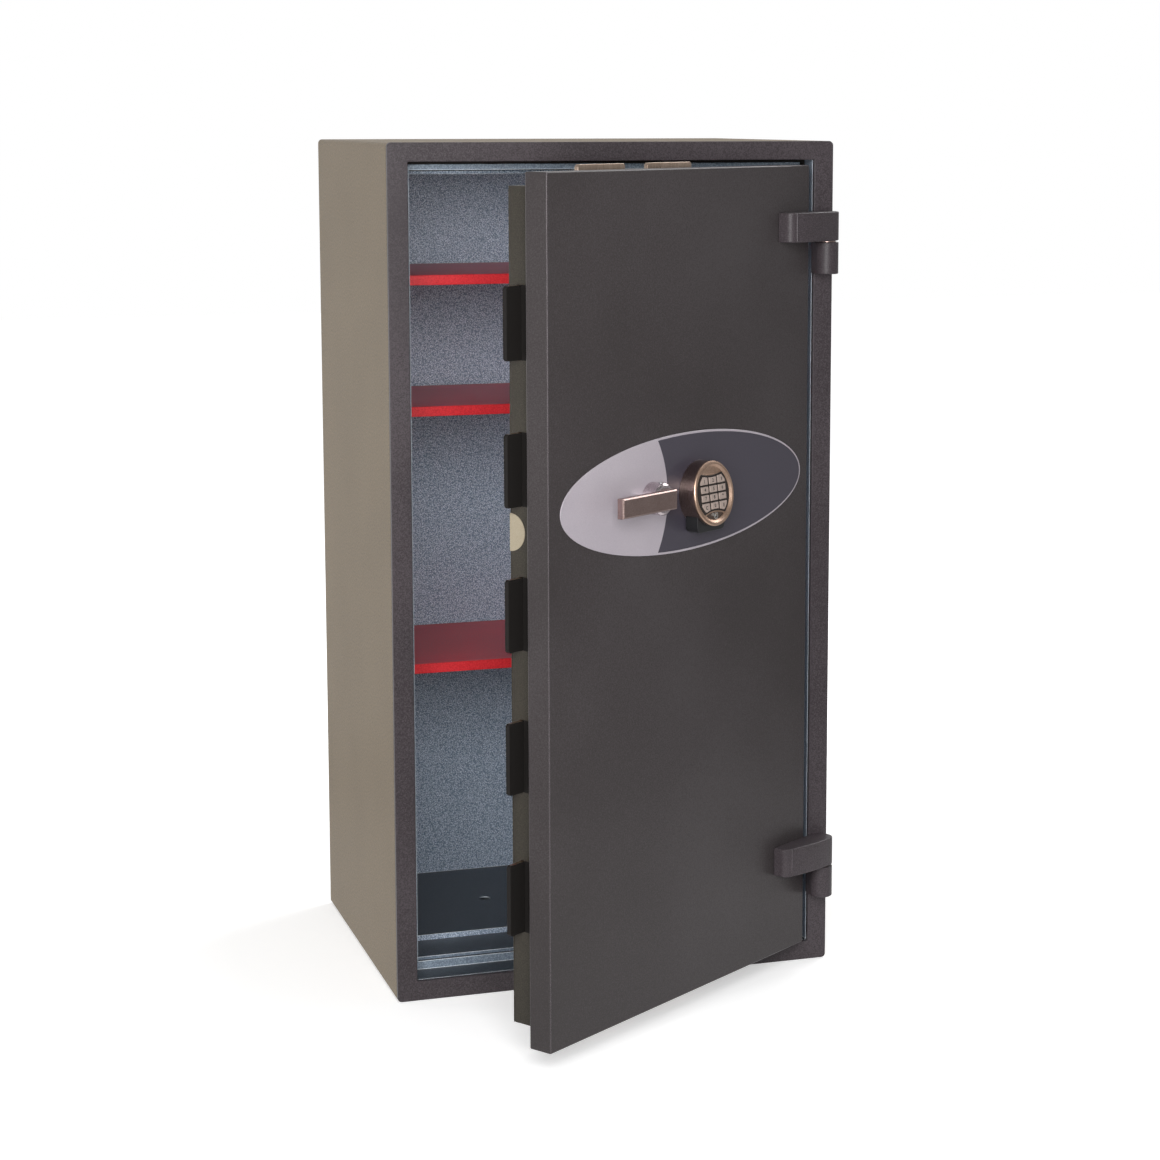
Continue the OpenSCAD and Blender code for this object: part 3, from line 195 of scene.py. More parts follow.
def mouldedPlastic(name, resin):
    # Moulded plastic or rubber: an even colour, a spark-eroded grain from the mould, soft gloss
    material, tree, shader = startMaterial(name, {"IOR": resin.get("ior", 1.49)})
    place = addNode(tree, "TexCoord").outputs["Object"]
    grain = addNode(tree, "TexNoise", {"Scale": 1 / (resin["grain"] * mm), "Detail": 2.0}, {"Vector": place})
    stops = list(zip(mouldGrain["stops"], (resin["dark"], resin["pale"])))
    shade = addNode(tree, "ValToRGB", {"stops": stops}, {0: grain.outputs[0]})
    tree.links.new(shade.outputs["Color"], shader.inputs["Base Color"])
    addRelief(tree, shader, resin, mouldGrain["swing"], grain.outputs[0], grain.outputs[0],
              mouldGrain["tall"])
    return material


# Steel sheet in a structured powder coat: the lit copy, warm grey with painted warm side light
warmLitPaint = paintedSteel("powderCoatWarmLit", {
    "dark": "#604f35", "base": "#705f43", "pale": "#816f54", "wornAndShining": "#8e8473", "wearAndShine": 0.3,
    "rubAndShineWidth": 1.2, "grain": 3.0, "cloud": 140, "cloudShare": 0.15, "rough": 0.42, "bump": 0.5,
    "gloss": 0.2})
# The same coat on the front frame and the hinges: the shaded copy, darker and cooler as painted shade
coolShadePaint = paintedSteel("powderCoatCoolShade", {
    "dark": "#352f32", "base": "#403a3d", "pale": "#4f484c", "wornAndShining": "#7f787c", "wearAndShine": 0.35,
    "rubAndShineWidth": 1.2, "grain": 1.6, "cloud": 220, "cloudShare": 0.4, "rough": 0.38, "bump": 0.5,
    "gloss": 0.25})
# The smoother coat of the door; the pale line along its folded edges is a painted highlight
doorPaint = paintedSteel("charcoalDoorCoat", {
    "dark": "#373333", "base": "#3e393a", "pale": "#464243", "wornAndShining": "#d8ced6", "wearAndShine": 1.0,
    "rubAndShineWidth": 1.3, "grain": 1.8, "cloud": 320, "cloudShare": 0.6, "rough": 0.35, "bump": 0.25,
    "gloss": 0.2})
# Flat olive primer on the box behind the door
casePaint = paintedSteel("olivePrimerCoat", {
    "dark": "#2f2c26", "base": "#37332d", "pale": "#413d35", "wornAndShining": "#7a746a", "wearAndShine": 0.3,
    "rubAndShineWidth": 0.8, "grain": 1.3, "cloud": 200, "cloudShare": 0.4, "rough": 0.42, "bump": 0.3,
    "gloss": 0.18})
# Blue hammer-effect enamel inside, which glitters in small dimples
linerPaint = hammeredPaint("blueHammeredEnamel", {
    "dark": "#6d7f96", "base": "#a6b6cb", "pale": "#e9f2fb", "cell": 2.0, "grain": 1.3, "rough": 0.36,
    "bump": 0.9})
# The same enamel on the folded rebate: smoother, and a little darker as painted shade
rebateShadePaint = hammeredPaint("blueEnamelRebateShade", {
    "dark": "#6b7887", "base": "#808e9d", "pale": "#9aa9b8", "cell": 2.2, "grain": 1.4, "rough": 0.3,
    "bump": 0.4})
# Level faces inside, kept dark as painted shade
levelShadePaint = hammeredPaint("slateEnamelPaintedShade", {
    "dark": "#22282d", "base": "#2c3339", "pale": "#384048", "cell": 2.0, "grain": 1.3, "rough": 0.33,
    "bump": 0.4})
# Folded edges inside, a bright line of painted highlight
edgeHighlightPaint = hammeredPaint("enamelEdgePaintedHighlight", {
    "dark": "#b8c2cc", "base": "#d2dae2", "pale": "#e6ecf2", "cell": 2.0, "grain": 1.3, "rough": 0.3,
    "bump": 0.2})
# Smooth signal red on the shelves
shelfPaint = paintedSteel("redPowderCoat", {
    "dark": "#c4232b", "base": "#d92b33", "pale": "#e2393f", "wornAndShining": "#ef7a74", "wearAndShine": 0.3,
    "rubAndShineWidth": 0.8, "grain": 2.2, "cloud": 160, "cloudShare": 0.3, "rough": 0.33, "bump": 0.12,
    "gloss": 0.5})
# Lever: brown-grey nickel, brushed along the bar
nickel = brushedMetal("satinNickel", {
    "dark": "#8b7671", "base": "#9c8782", "pale": "#b19c96", "stretch": (0.06, 1, 1), "streak": 0.9,
    "cloud": 40, "rough": 0.3, "bump": 0.25})
# Hub: paler and smoother, so its rim catches the light
hubNickel = brushedMetal("polishedNickel", {
    "dark": "#b3a8ab", "base": "#c5babd", "pale": "#d6ccce", "stretch": (1, 1, 1), "streak": 1.2,
    "cloud": 40, "rough": 0.26, "bump": 0.1})
# Keypad rim: warm and satin, with a soft glow instead of a hard catch
bronze = brushedMetal("satinBronze", {
    "dark": "#a98c77", "base": "#bb9e8b", "pale": "#ccb19f", "stretch": (1, 1, 1), "streak": 1.2,
    "cloud": 30, "rough": 0.42, "bump": 0.15})
# Keypad housing: darker bronze, streaked from front to back
darkBronze = brushedMetal("patinatedBronze", {
    "dark": "#8a7671", "base": "#9b8680", "pale": "#ae9a93", "stretch": (1, 1, 0.1), "streak": 1.2,
    "cloud": 30, "rough": 0.32, "bump": 0.2})
# Bolts: warm ground steel
boltSteel = brushedMetal("groundBoltSteel", {
    "dark": "#bba493", "base": "#cab3a1", "pale": "#d9c4b3", "stretch": (1, 1, 0.3), "streak": 3.0,
    "cloud": 50, "rough": 0.3, "bump": 0.08})
# Screws, clips and lock case: cool grey zinc
zincSteel = brushedMetal("zincPlatedSteel", {
    "dark": "#8f9295", "base": "#a5a8aa", "pale": "#bcbfc1", "stretch": (1, 1, 1), "streak": 3.0,
    "cloud": 25, "rough": 0.32, "bump": 0.2})
# Bush, cam and lock bolt: dull machined brass
brass = brushedMetal("machinedBrass", {
    "dark": "#6d5a34", "base": "#85703f", "pale": "#9d8751", "stretch": (1, 1, 1), "streak": 0.8,
    "cloud": 20, "rough": 0.3, "bump": 0.2})
# Oval plate: pale lilac-grey anodised sheet, almost matt
ovalSilver = brushedMetal("anodisedAluminium", {
    "dark": "#b2aab3", "base": "#beb6be", "pale": "#cac2c9", "stretch": (0.05, 1, 1), "streak": 0.6,
    "cloud": 120, "rough": 0.45, "bump": 0.1, "metallic": 0.3})
# Bright ring of the keypad's lamp
chrome = brushedMetal("chromePlate", {
    "dark": "#c9c6c2", "base": "#d8d5d1", "pale": "#e6e3df", "stretch": (1, 1, 1), "streak": 2.0,
    "cloud": 10, "rough": 0.14, "bump": 0.05})
# Dark printed part of the oval: slate with a satin sheen
ovalSlate = mouldedPlastic("screenPrintedSlate", {
    "dark": "#3c3842", "pale": "#46424c", "grain": 0.7, "rough": 0.33, "bump": 0.15})
# Keys: warm grey silicone, soft at the edges
keyGrey = mouldedPlastic("greySiliconeRubber", {
    "dark": "#98887f", "pale": "#aa9a92", "grain": 0.5, "rough": 0.5, "bump": 0.3, "ior": 1.43})
# Brown finish in the recess under the keys: its own darker colour and painted shade under the ring
bezelShadow = mouldedPlastic("umberLacquerAndShade", {
    "dark": "#3a2d25", "pale": "#46372d", "grain": 0.6, "rough": 0.35, "bump": 0.2})
# Battery drawer: fine-grained black plastic
blackPlastic = mouldedPlastic("blackAbs", {
    "dark": "#161617", "pale": "#1f1f21", "grain": 0.5, "rough": 0.38, "bump": 0.4})
# Brown-black frame between the keys
keySurround = mouldedPlastic("brownBlackAbs", {
    "dark": "#1b1411", "pale": "#251c18", "grain": 0.5, "rough": 0.45, "bump": 0.3})
# Signs on the keys: matt dark ink
inkPrint = mouldedPlastic("printedInk", {
    "dark": "#2b2827", "pale": "#343130", "grain": 0.3, "rough": 0.6, "bump": 0.1})
# Seals, strips and the bolts' skins: black rubber that reflects almost nothing, which on the bolts and strips
# stands for painted shade and reflection
rubberAndShade = mouldedPlastic("blackRubberAndShade", {
    "dark": "#151312", "pale": "#1d1a18", "grain": 0.8, "rough": 0.75, "bump": 0.4, "ior": 1.3})
# Round label: tan paper under a thin film
labelPaper = mouldedPlastic("laminatedLabel", {
    "dark": "#978c76", "pale": "#a39884", "grain": 1.4, "rough": 0.4, "bump": 0.1})
# Circuit board behind the keys
boardGreen = mouldedPlastic("solderMaskGreen", {
    "dark": "#1d4a2c", "pale": "#245a36", "grain": 1.0, "rough": 0.3, "bump": 0.1})
# Barrier: chalky, crumbly board
fireBoard = mouldedPlastic("fireResistantBoard", {
    "dark": "#a8a296", "pale": "#c3beb2", "grain": 2.4, "rough": 0.9, "bump": 0.9})
print("materials made:", len(bpy.data.materials))

# Corners this close are one corner, and faces that bend less than this are one face
merge = {"near": 0.004, "bend": 0.4}


def copyNode(node):
    # A CAD node's own shape, its loose triangles merged into whole faces
    shape = bmesh.new()
    shape.from_mesh(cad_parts[node].data)
    bmesh.ops.remove_doubles(shape, verts=shape.verts, dist=merge["near"] * mm)
    bmesh.ops.dissolve_limit(shape, angle_limit=turn(merge["bend"]), verts=shape.verts, edges=shape.edges)
    return shape


def roundEdges(shape, width, segments=3, angle=25, pick=None):
    # Every edge that bends more than the angle gets a round of this width
    edges = [edge for edge in shape.edges if len(edge.link_faces) == 2
             and edge.calc_face_angle(0) > turn(angle) and (pick is None or pick(edge))]
    bmesh.ops.bevel(shape, geom=edges, offset=width * mm, offset_type="OFFSET", segments=segments,
                    profile=0.5, affect="EDGES", material=-1, clamp_overlap=False, loop_slide=True)


def finishPiece(shape, name, body, material, nodes=(), flat=False):
    # The shape becomes a piece that rides its body and stands in for its nodes
    mesh = bpy.data.meshes.new(name)
    for face in shape.faces:
        face.smooth = not flat
    shape.to_mesh(mesh)
    shape.free()
    mesh.materials.append(material)
    piece = bpy.data.objects.new(name, mesh)
    bpy.context.scene.collection.objects.link(piece)
    if not flat:
        evenShade = piece.modifiers.new("evenShade", "WEIGHTED_NORMAL")
        evenShade.mode = "FACE_AREA"
        evenShade.keep_sharp = True
    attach(piece, body)
    if nodes:
        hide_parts(*nodes)
    return piece


def finishSkin(shape, unwanted, thick, name, body, material):
    # A thin skin on what is left of a copied node's faces
    bmesh.ops.delete(shape, geom=unwanted, context="FACES")
    bmesh.ops.solidify(shape, geom=shape.faces[:], thickness=-thick * mm)
    bmesh.ops.recalc_face_normals(shape, faces=shape.faces)
    finishPiece(shape, name, body, material, flat=True)


# Pieces that keep the CAD shape and get their worked edges: node, body, slot, finish, edge radius
softened = [
    ("front_frame", "cabinet", "front_paint", coolShadePaint, 1.4),
    ("back_plate", "cabinet", "side_paint", warmLitPaint, 1.4),
    ("rebate_frame", "cabinet", "liner_paint", rebateShadePaint, 0.9),
    ("inner_liner", "cabinet", "liner_paint", linerPaint, 0.6),
    ("shelf_strips", "cabinet", "liner_paint", linerPaint, 0.5),
    ("shelf_clips", "cabinet", "plain_steel", zincSteel, 0.5),
    ("top_shelf", "cabinet", "shelf_paint", shelfPaint, 0.7),
    ("middle_shelf", "cabinet", "shelf_paint", shelfPaint, 0.7),
    ("bottom_shelf", "cabinet", "shelf_paint", shelfPaint, 0.7),
    ("hinge_posts", "cabinet", "front_paint", coolShadePaint, 1.3),
    ("door_plate", "door", "front_paint", doorPaint, 1.8),
    ("boltwork_case", "door", "front_paint", casePaint, 0.6),
    ("boltwork_cover", "door", "front_paint", casePaint, 0.6),
    ("upper_hinge_arm", "door", "front_paint", coolShadePaint, 1.6),
    ("lower_hinge_arm", "door", "front_paint", coolShadePaint, 1.6),
    ("oval_plate", "door", "oval_silver", ovalSilver, 0.5),
    ("oval_inlay", "door", "oval_slate", ovalSlate, 0.12),
    ("keypad_housing", "door", "bronze", darkBronze, 0.4),
    ("keypad_bezel", "door", "bronze", bronze, 0.25),
    ("key_frame", "door", "black_plastic", keySurround, 0.25),
    ("hinge_side_dogs", "door", "bolt_steel", boltSteel, 0.5),
    ("guide_studs", "door", "plain_steel", zincSteel, 0.4),
    ("lock_case", "door", "plain_steel", zincSteel, 0.8),
    ("lever_bar", "handle", "satin_nickel", nickel, 0.5),
    ("handle_hub", "handle", "satin_nickel", hubNickel, 0.7),
    ("side_bolts", "side_bolts", "bolt_steel", boltSteel, 0.5),
    ("top_bolts", "top_bolts", "bolt_steel", boltSteel, 0.5),
    ("bottom_bolts", "bottom_bolts", "bolt_steel", boltSteel, 0.5),
    ("lock_bolt", "lock_bolt", "brass", brass, 0.5),
    ("battery_drawer", "battery_drawer", "black_plastic", blackPlastic, 0.8),
]
toShut = doorPlace.inverted()


def shutCorners(node):
    # A node's low and high corner in millimetres, as it stands with the door shut
    spots = [toShut @ vert.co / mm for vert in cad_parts[node].data.vertices]
    return [Vector([pick(spot[axis] for spot in spots) for axis in range(3)]) for pick in (min, max)]


boltLow, boltHigh = shutCorners("side_bolts")
caseSide = shutCorners("boltwork_case")[0].x
# The bolts' tips are ground thinner behind: axis, place of the tip with the door shut, and width ground off
tips = {"side_bolts": (0, boltLow.x, 10.5), "top_bolts": (2, shutCorners("top_bolts")[1].z, 7.5),
        "bottom_bolts": (2, shutCorners("bottom_bolts")[0].z, 7.5)}
atTip = 0.1


def chamferTip(shape, axis, reach, width):
    # Grinds only the edge where the tip meets the bolt's rear face
    def isTip(edge):
        spots = [toShut @ vert.co / mm for vert in edge.verts]
        return all(abs(spot[axis] - reach) < atTip and spot.y > boltHigh.y - atTip for spot in spots)
    roundEdges(shape, width, 1, pick=isTip)


# A normal this upright makes a face level, and one this close to an axis makes it square; the rest are folds
tones = {"level": 0.9, "square": 0.98}
for node, body, slot, finish, radius in softened:
    shape = copyNode(node)
    if node in tips:
        chamferTip(shape, *tips[node])
    roundEdges(shape, radius)
    piece = finishPiece(shape, "dressed_" + node, body, finish, (node,))
    # On the rebate and the liner, level faces get painted shade and the folds a painted highlight
    if node in ("rebate_frame", "inner_liner"):
        for tone in (levelShadePaint, edgeHighlightPaint):
            piece.data.materials.append(tone)
        for facet in piece.data.polygons:
            if abs(facet.normal.z) > tones["level"]:
                facet.material_index = 1
            elif max(abs(part) for part in facet.normal) < tones["square"]:
                facet.material_index = 2
print("pieces softened:", len(softened))


def addBlock(shape, low, high):
    # A block between two corners given in millimetres, with the door shut
    block = bmesh.ops.create_cube(shape, size=1)["verts"]
    bmesh.ops.scale(shape, verts=block, vec=Vector([b - a for a, b in zip(low, high)]) * mm)
    bmesh.ops.translate(shape, verts=block, vec=Vector([(a + b) / 2 for a, b in zip(low, high)]) * mm)


# Black strips on the case's side, in front of the side bolts: painted shade
strips = {"depth": (35.0, 56.0), "thick": 0.8, "count": 5, "boltTall": 92.0, "past": 0.6, "edge": 0.25}
pitch = (boltHigh.z - boltLow.z - strips["boltTall"]) / (strips["count"] - 1)
front, rear = (frontY + depth for depth in strips["depth"])
shadeStrips = bmesh.new()
for step in range(strips["count"]):
    low = boltLow.z + step * pitch - strips["past"]
    high = boltLow.z + step * pitch + strips["boltTall"] + strips["past"]
    addBlock(shadeStrips, (caseSide - strips["thick"], front, low), (caseSide, rear, high))
roundEdges(shadeStrips, strips["edge"], 2)
bmesh.ops.transform(shadeStrips, matrix=doorPlace, verts=shadeStrips.verts)
finishPiece(shadeStrips, "bolt_shade_strips", "door", rubberAndShade)

# Black skin over each side bolt's front and tip, a painted dark reflection on the steel, that leaves the
# bolt's rear edge bare
paintedReflection = {"inside": 2.5, "bare": 1.2, "thick": 0.2, "facing": 0.5, "near": 0.001}
paintedReflectionRoot = caseSide + paintedReflection["inside"]
paintedReflectionRear = boltHigh.y - paintedReflection["bare"]
cover = copyNode("side_bolts")
chamferTip(cover, *tips["side_bolts"])
for spot, way in (((0, paintedReflectionRear, 0), (0, 1, 0)), ((paintedReflectionRoot, 0, 0), (1, 0, 0))):
    bmesh.ops.bisect_plane(cover, geom=cover.verts[:] + cover.edges[:] + cover.faces[:],
                           dist=paintedReflection["near"] * mm, plane_co=doorPlace @ (Vector(spot) * mm),
                           plane_no=doorPlace.to_3x3() @ Vector(way))


def isBare(face):
    # Behind the skin's edges, or facing neither the front nor the tip
    middle = toShut @ face.calc_center_median() / mm
    way = toShut.to_3x3() @ face.normal
    return middle.x > paintedReflectionRoot or middle.y > paintedReflectionRear or max(-way.x, -way.y) < paintedReflection["facing"]


finishSkin(cover, [face for face in cover.faces if isBare(face)], paintedReflection["thick"],
           "bolt_painted_reflection", "side_bolts", rubberAndShade)

# Black sealing strips at the sides and top, behind the door plate's edge and round the liner's mouth; their
# black also paints the shade in the rebate's gaps
rings = [{"x": 287.0, "z": (27.5, 1144.5), "width": 4.0, "depth": (36.0, 45.0)},
         {"x": 275.0, "z": (39.5, 1132.5), "width": 3.0, "depth": (133.0, 136.0)}]
sealAndShadeEdge = 0.4
sealsAndShade = bmesh.new()
for ring in rings:
    front, rear = (frontY + depth for depth in ring["depth"])
    low, high = ring["z"]
    inner = ring["x"] - ring["width"]
    for side in (-1, 1):
        addBlock(sealsAndShade, (min(side * inner, side * ring["x"]), front, low),
                 (max(side * inner, side * ring["x"]), rear, high))
    addBlock(sealsAndShade, (-inner, front, high - ring["width"]), (inner, rear, high))
roundEdges(sealsAndShade, sealAndShadeEdge, 2)
finishPiece(sealsAndShade, "door_seals_and_shade", "cabinet", rubberAndShade)

# Dark floor of the crescent under the keys, a skin on the bezel's own recess: its own darker colour and
# painted shade under the ring
recessDarkSkin = {"level": -0.4, "inside": 35.0, "thick": 0.12, "near": 0.05}
crescent = copyNode("keypad_bezel")
fromPad = padPlace.inverted()


def isFloor(vert):
    # On the recess's floor, well inside the bezel's ring
    spot = fromPad @ vert.co / mm
    return abs(-spot.y - recessDarkSkin["level"]) < recessDarkSkin["near"] and spot.xz.length < recessDarkSkin["inside"]


rims = [face for face in crescent.faces if not all(isFloor(vert) for vert in face.verts)]
finishSkin(crescent, rims, recessDarkSkin["thick"], "crescent_floor", "door", bezelShadow)

# Grub screw that holds the lever's hub on its spindle, with a round socket
grub = {"x": -77.0, "depth": -17.0, "middle": 737.2, "radius": 3.0, "tall": 2.4, "socket": 1.5, "deep": 1.6,
        "taper": 0.02, "sides": 24, "facing": 0.9}
screw = bmesh.new()
bmesh.ops.create_cone(screw, cap_ends=True, segments=grub["sides"], radius1=grub["radius"] * mm,
                      radius2=grub["radius"] * mm, depth=grub["tall"] * mm)
lid = [face for face in screw.faces if face.normal.z > grub["facing"]]
bmesh.ops.inset_individual(screw, faces=lid, thickness=(grub["radius"] - grub["socket"]) * mm)
bmesh.ops.inset_individual(screw, faces=lid, thickness=grub["taper"] * mm, depth=-grub["deep"] * mm)
bmesh.ops.translate(screw, verts=screw.verts,
                    vec=Vector((grub["x"], frontY + grub["depth"], grub["middle"])) * mm)
bmesh.ops.transform(screw, matrix=doorPlace, verts=screw.verts)
finishPiece(screw, "hub_grub_screw", "handle", zincSteel, flat=True)

# Cover screws: domed heads with a round drive socket
dome = {"rim": 0.9, "socket": 2.2, "deep": 1.1, "taper": 0.05, "facing": 0.99, "corners": 12}
heads = copyNode("cover_screws")
outward = doorPlace.to_3x3() @ Vector((0, 1, 0))
roundEdges(heads, dome["rim"], 4)
lids = [face for face in heads.faces
        if face.normal.dot(outward) > dome["facing"] and len(face.verts) > dome["corners"]]
bmesh.ops.inset_individual(heads, faces=lids, thickness=dome["socket"] * mm)
bmesh.ops.inset_individual(heads, faces=lids, thickness=dome["taper"] * mm, depth=-dome["deep"] * mm)
finishPiece(heads, "dressed_cover_screws", "door", zincSteel, ("cover_screws",))
print("strips, skins, seals and screws added")

# Nodes whose own mesh stays, with a better finish
keptNodes = {
    "outer_shell": warmLitPaint, "body_infill": fireBoard, "floor_sleeves": zincSteel,
    "hinge_pins": zincSteel, "hinge_washers": darkBronze, "door_infill": fireBoard,
    "door_back_plate": casePaint, "spindle_bush": brass, "keypad_board": boardGreen, "key_membrane": rubberAndShade,
    "keypad_cable": rubberAndShade, "hard_plate": zincSteel, "handle_spindle": zincSteel, "drive_cam": brass,
    "battery": blackPlastic, "round_label": labelPaper, "status_led": chrome}
for node, finish in keptNodes.items():
    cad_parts[node].material_slots[0].material = finish

# Keys: rubber caps with rounded tops, each with its dark printed sign
keys = {"pitchX": 18.9, "pitchZ": 11.1, "middleColumn": 1, "middleRow": 1.5, "rise": 0.4, "out": 2.3,
        "radius": 0.7, "cornerDrop": 1.4, "signHeight": 6.4, "signDepth": 0.06, "signBold": 0.2}
signs = [("1", "2", "3"), ("4", "5", "6"), ("7", "8", "9"), ("clear", "0", "enter")]
marks = {"clear": "C", "enter": "E"}
for row, names in enumerate(signs):
    for column, sign in enumerate(names):
        node = "key_" + sign
        cap = copyNode(node)
        roundEdges(cap, keys["radius"])
        finishPiece(cap, "dressed_" + node, node, keyGrey, (node,))
        text = bpy.data.curves.new("sign_" + sign, "FONT")
        text.body = marks.get(sign, sign)
        text.size = keys["signHeight"] * mm
        text.align_x = "CENTER"
        text.align_y = "CENTER"
        text.offset = keys["signBold"] * mm
        text.extrude = keys["signDepth"] * mm
        flatText = bpy.data.objects.new("flatText", text)
        bpy.context.scene.collection.objects.link(flatText)
        bpy.context.view_layer.update()
        mesh = bpy.data.meshes.new_from_object(flatText.evaluated_get(bpy.context.evaluated_depsgraph_get()))
        bpy.data.objects.remove(flatText)
        drop = keys["cornerDrop"] if sign in marks else 0.0
        spot = Vector(((column - keys["middleColumn"]) * keys["pitchX"], -keys["out"],
                       keys["rise"] + (keys["middleRow"] - row) * keys["pitchZ"] - drop)) * mm
        mesh.transform(padPlace @ Matrix.Translation(spot) @ Matrix.Rotation(turn(90), 4, "X"))
        mesh.materials.clear()
        mesh.materials.append(inkPrint)
        piece = bpy.data.objects.new("sign_" + sign, mesh)
        bpy.context.scene.collection.objects.link(piece)
        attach(piece, node)
print("keypad dressed")

# The studio around the object: a white sweep behind it, dimmer walls, and a dim ceiling, in shares of white;
# near, far and lift are distances over the floor in metres
sweep = {"toward": (-0.35, 0.94, 0.0), "dim": 0.34, "sides": (0.25, 0.42), "edge": (0.5, 0.9),
         "ceiling": (0.62, 0.9), "overhead": 0.3, "near": (0.7, 2.0), "far": (0.3, 1.5), "ambient": 0.36,
         "lift": (0.5, 1.6), "leastLift": 0.5}


def splitRays(tree):
    # Tells the camera's rays, and those that metal and glass send out, from the light's own
    rays = addNode(tree, "LightPath")
    mirrored = addNode(tree, "Math", {"operation": "MAXIMUM"},
                       {0: rays.outputs["Is Glossy Ray"], 1: rays.outputs["Is Transmission Ray"]})
    return rays.outputs["Is Camera Ray"], mirrored.outputs[0]


# Pale floor: lit like a sheet of paper, and lifted to white for the camera so only the shadow shows
floorMaterial = bpy.data.materials.new("paperFloor")
floorMaterial.use_nodes = True
tree = floorMaterial.node_tree
tree.nodes.clear()
seen, mirrored = splitRays(tree)
paper = addNode(tree, "BsdfDiffuse", {"Color": colour("#e8e8e8")})
spot = addNode(tree, "TexCoord").outputs["Object"]
reach = addNode(tree, "VectorMath", {"operation": "LENGTH"}, {0: spot}).outputs["Value"]
fade = addNode(tree, "MapRange", {"From Min": sweep["lift"][0], "From Max": sweep["lift"][1],
                                  "To Min": sweep["leastLift"], "To Max": 1.0}, {"Value": reach})
lifted = addNode(tree, "Math", {"operation": "MULTIPLY"}, {0: seen, 1: fade.outputs[0]})
lift = addNode(tree, "Emission", {"Color": (1, 1, 1, 1)}, {"Strength": lifted.outputs[0]})
both = addNode(tree, "AddShader", None, {0: paper.outputs[0], 1: lift.outputs[0]})
behind = addNode(tree, "VectorMath", {"operation": "DOT_PRODUCT", 1: sweep["toward"]}, {0: spot})
far = addNode(tree, "MapRange", {"From Min": sweep["far"][0], "From Max": sweep["far"][1],
                                 "To Min": sweep["dim"], "To Max": 1.0}, {"Value": behind.outputs["Value"]})
near = addNode(tree, "MapRange", {"interpolation_type": "SMOOTHSTEP", "From Min": sweep["near"][0],
                                  "From Max": sweep["near"][1], "To Min": 1.0, "To Max": 0.0},
               {"Value": reach})
shine = addNode(tree, "Math", {"operation": "MAXIMUM"}, {0: near.outputs[0], 1: far.outputs[0]})
glow = addNode(tree, "Emission", {"Color": (1, 1, 1, 1)}, {"Strength": shine.outputs[0]})
ground = addNode(tree, "MixShader", None, {0: mirrored, 1: both.outputs[0], 2: glow.outputs[0]})
addNode(tree, "OutputMaterial", None, {"Surface": ground.outputs[0]})
# Half the floor's width in metres, how far it lies below the feet, and its squares each way
floorPlace = {"half": 12, "drop": 0.5, "squares": 4}
floorShape = bmesh.new()
bmesh.ops.create_grid(floorShape, x_segments=floorPlace["squares"], y_segments=floorPlace["squares"],
                      size=floorPlace["half"])
bmesh.ops.translate(floorShape, verts=floorShape.verts, vec=(0, 0, -floorPlace["drop"] * mm))
floorMesh = bpy.data.meshes.new("paperFloor")
floorShape.to_mesh(floorMesh)
floorShape.free()
floorMesh.materials.append(floorMaterial)
floor = bpy.data.objects.new("paperFloor", floorMesh)
bpy.context.scene.collection.objects.link(floor)

# White world for the eye; gloss sees the studio, and its soft light falls on the object
world = bpy.data.worlds.new("studioWorld")
world.use_nodes = True
tree = world.node_tree
tree.nodes.clear()
seen, mirrored = splitRays(tree)
way = addNode(tree, "TexCoord").outputs["Generated"]
around = addNode(tree, "VectorMath", {"operation": "DOT_PRODUCT", 1: sweep["toward"]}, {0: way})
upward = addNode(tree, "SeparateXYZ", None, {0: way})
across = addNode(tree, "MapRange", {"From Min": -1.0, "From Max": 1.0, "To Min": sweep["sides"][0],
                                    "To Max": sweep["sides"][1]}, {"Value": upward.outputs["X"]})
depth = addNode(tree, "MapRange", {"interpolation_type": "SMOOTHSTEP", "From Min": sweep["edge"][0],
                                   "From Max": sweep["edge"][1], "To Max": 1.0},
                {"Value": around.outputs["Value"], "To Min": across.outputs[0]})
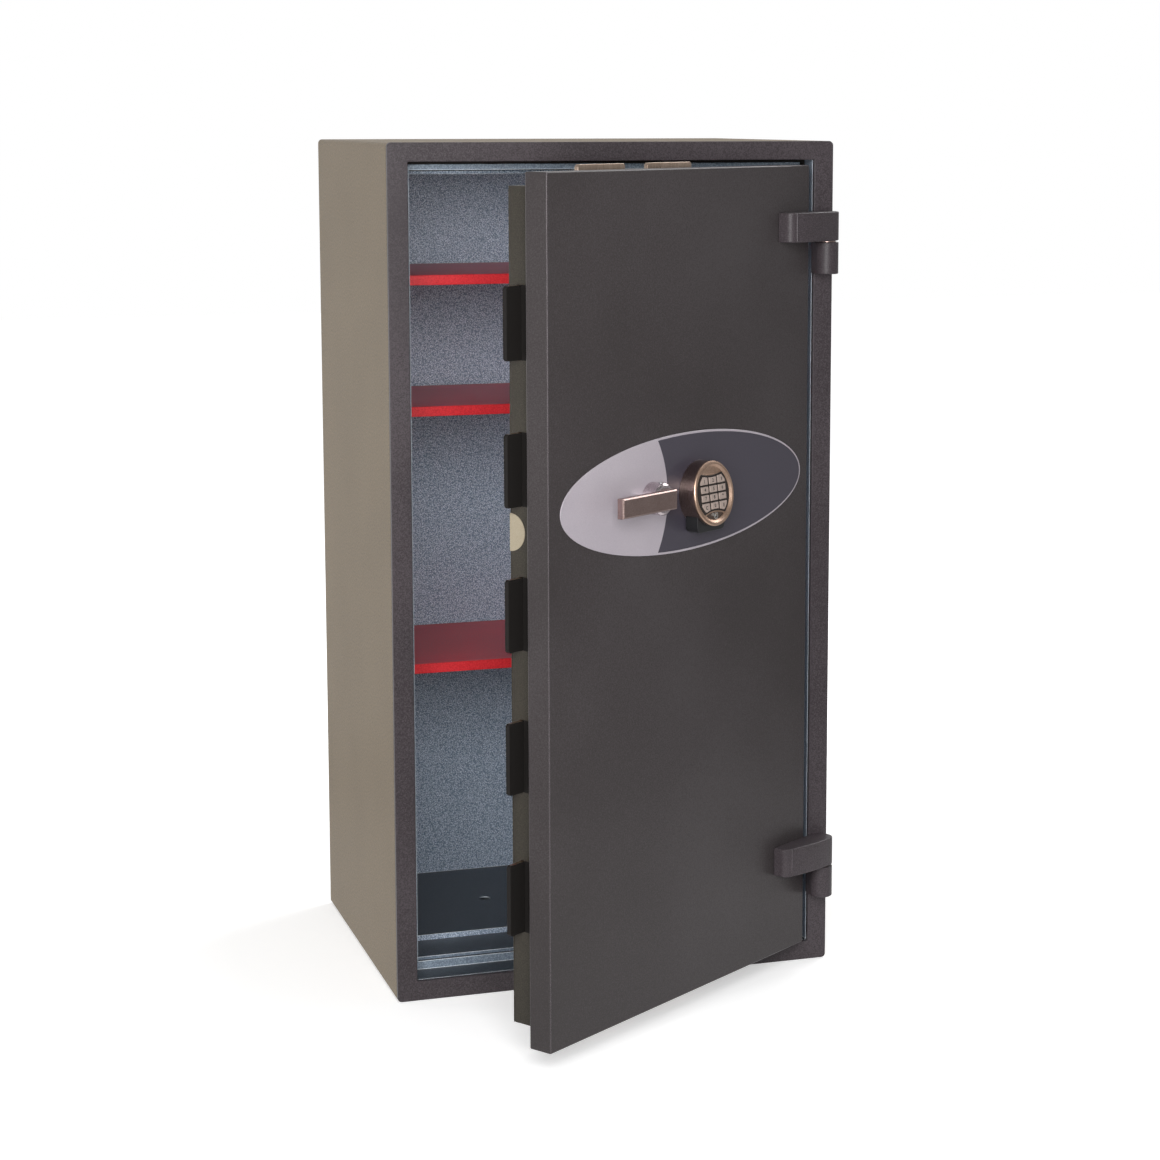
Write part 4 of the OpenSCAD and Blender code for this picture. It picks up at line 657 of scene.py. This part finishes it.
ceiling = addNode(tree, "MapRange", {"interpolation_type": "SMOOTHSTEP", "From Min": sweep["ceiling"][0],
                                     "From Max": sweep["ceiling"][1], "To Min": 1.0,
                                     "To Max": sweep["overhead"]}, {"Value": upward.outputs["Z"]})
shade = addNode(tree, "Math", {"operation": "MULTIPLY"}, {0: depth.outputs[0], 1: ceiling.outputs[0]})
ambient = addNode(tree, "Math", {"operation": "MULTIPLY", 1: sweep["ambient"]}, {0: shade.outputs[0]})
soft = addNode(tree, "Background", {"Color": (1, 1, 1, 1)}, {"Strength": ambient.outputs[0]})
studio = addNode(tree, "Background", {"Color": (1, 1, 1, 1)}, {"Strength": shade.outputs[0]})
white = addNode(tree, "Background", {"Color": (1, 1, 1, 1), "Strength": 1.0})
lit = addNode(tree, "MixShader", None, {0: mirrored, 1: soft.outputs[0], 2: studio.outputs[0]})
mixed = addNode(tree, "MixShader", None, {0: seen, 1: lit.outputs[0], 2: white.outputs[0]})
addNode(tree, "OutputWorld", None, {"Surface": mixed.outputs[0]})
bpy.context.scene.world = world

# Soft boxes: place and aim in metres, power in watts
lamps = [
    {"name": "frontBox", "place": (-0.82, -2.5, 1.4), "aim": (0, -0.24, 0.9), "size": 1.4, "power": 68},
    {"name": "leftBox", "place": (-3.3, 1.7, 0.25), "aim": (-0.3, 0, 0.3), "size": 1.6, "power": 64},
    {"name": "topBox", "place": (0.2, 0.3, 3.4), "aim": (0, 0, 1.0), "size": 1.6, "power": 25},
    {"name": "rimBox", "place": (2.4, 1.2, 2.8), "aim": (0, 0, 0.7), "size": 1.6, "power": 55}]
for lamp in lamps:
    lampData = bpy.data.lights.new(lamp["name"], "AREA")
    lampData.shape = "SQUARE"
    lampData.size = lamp["size"]
    lampData.energy = lamp["power"]
    lampObject = bpy.data.objects.new(lamp["name"], lampData)
    lampObject.location = lamp["place"]
    aim = Vector(lamp["aim"]) - Vector(lamp["place"])
    lampObject.rotation_euler = aim.to_track_quat("-Z", "Y").to_euler()
    lampObject.visible_camera = False
    bpy.context.scene.collection.objects.link(lampObject)
bpy.context.scene.view_settings.view_transform = "Standard"
print("floor, world and lamps set")
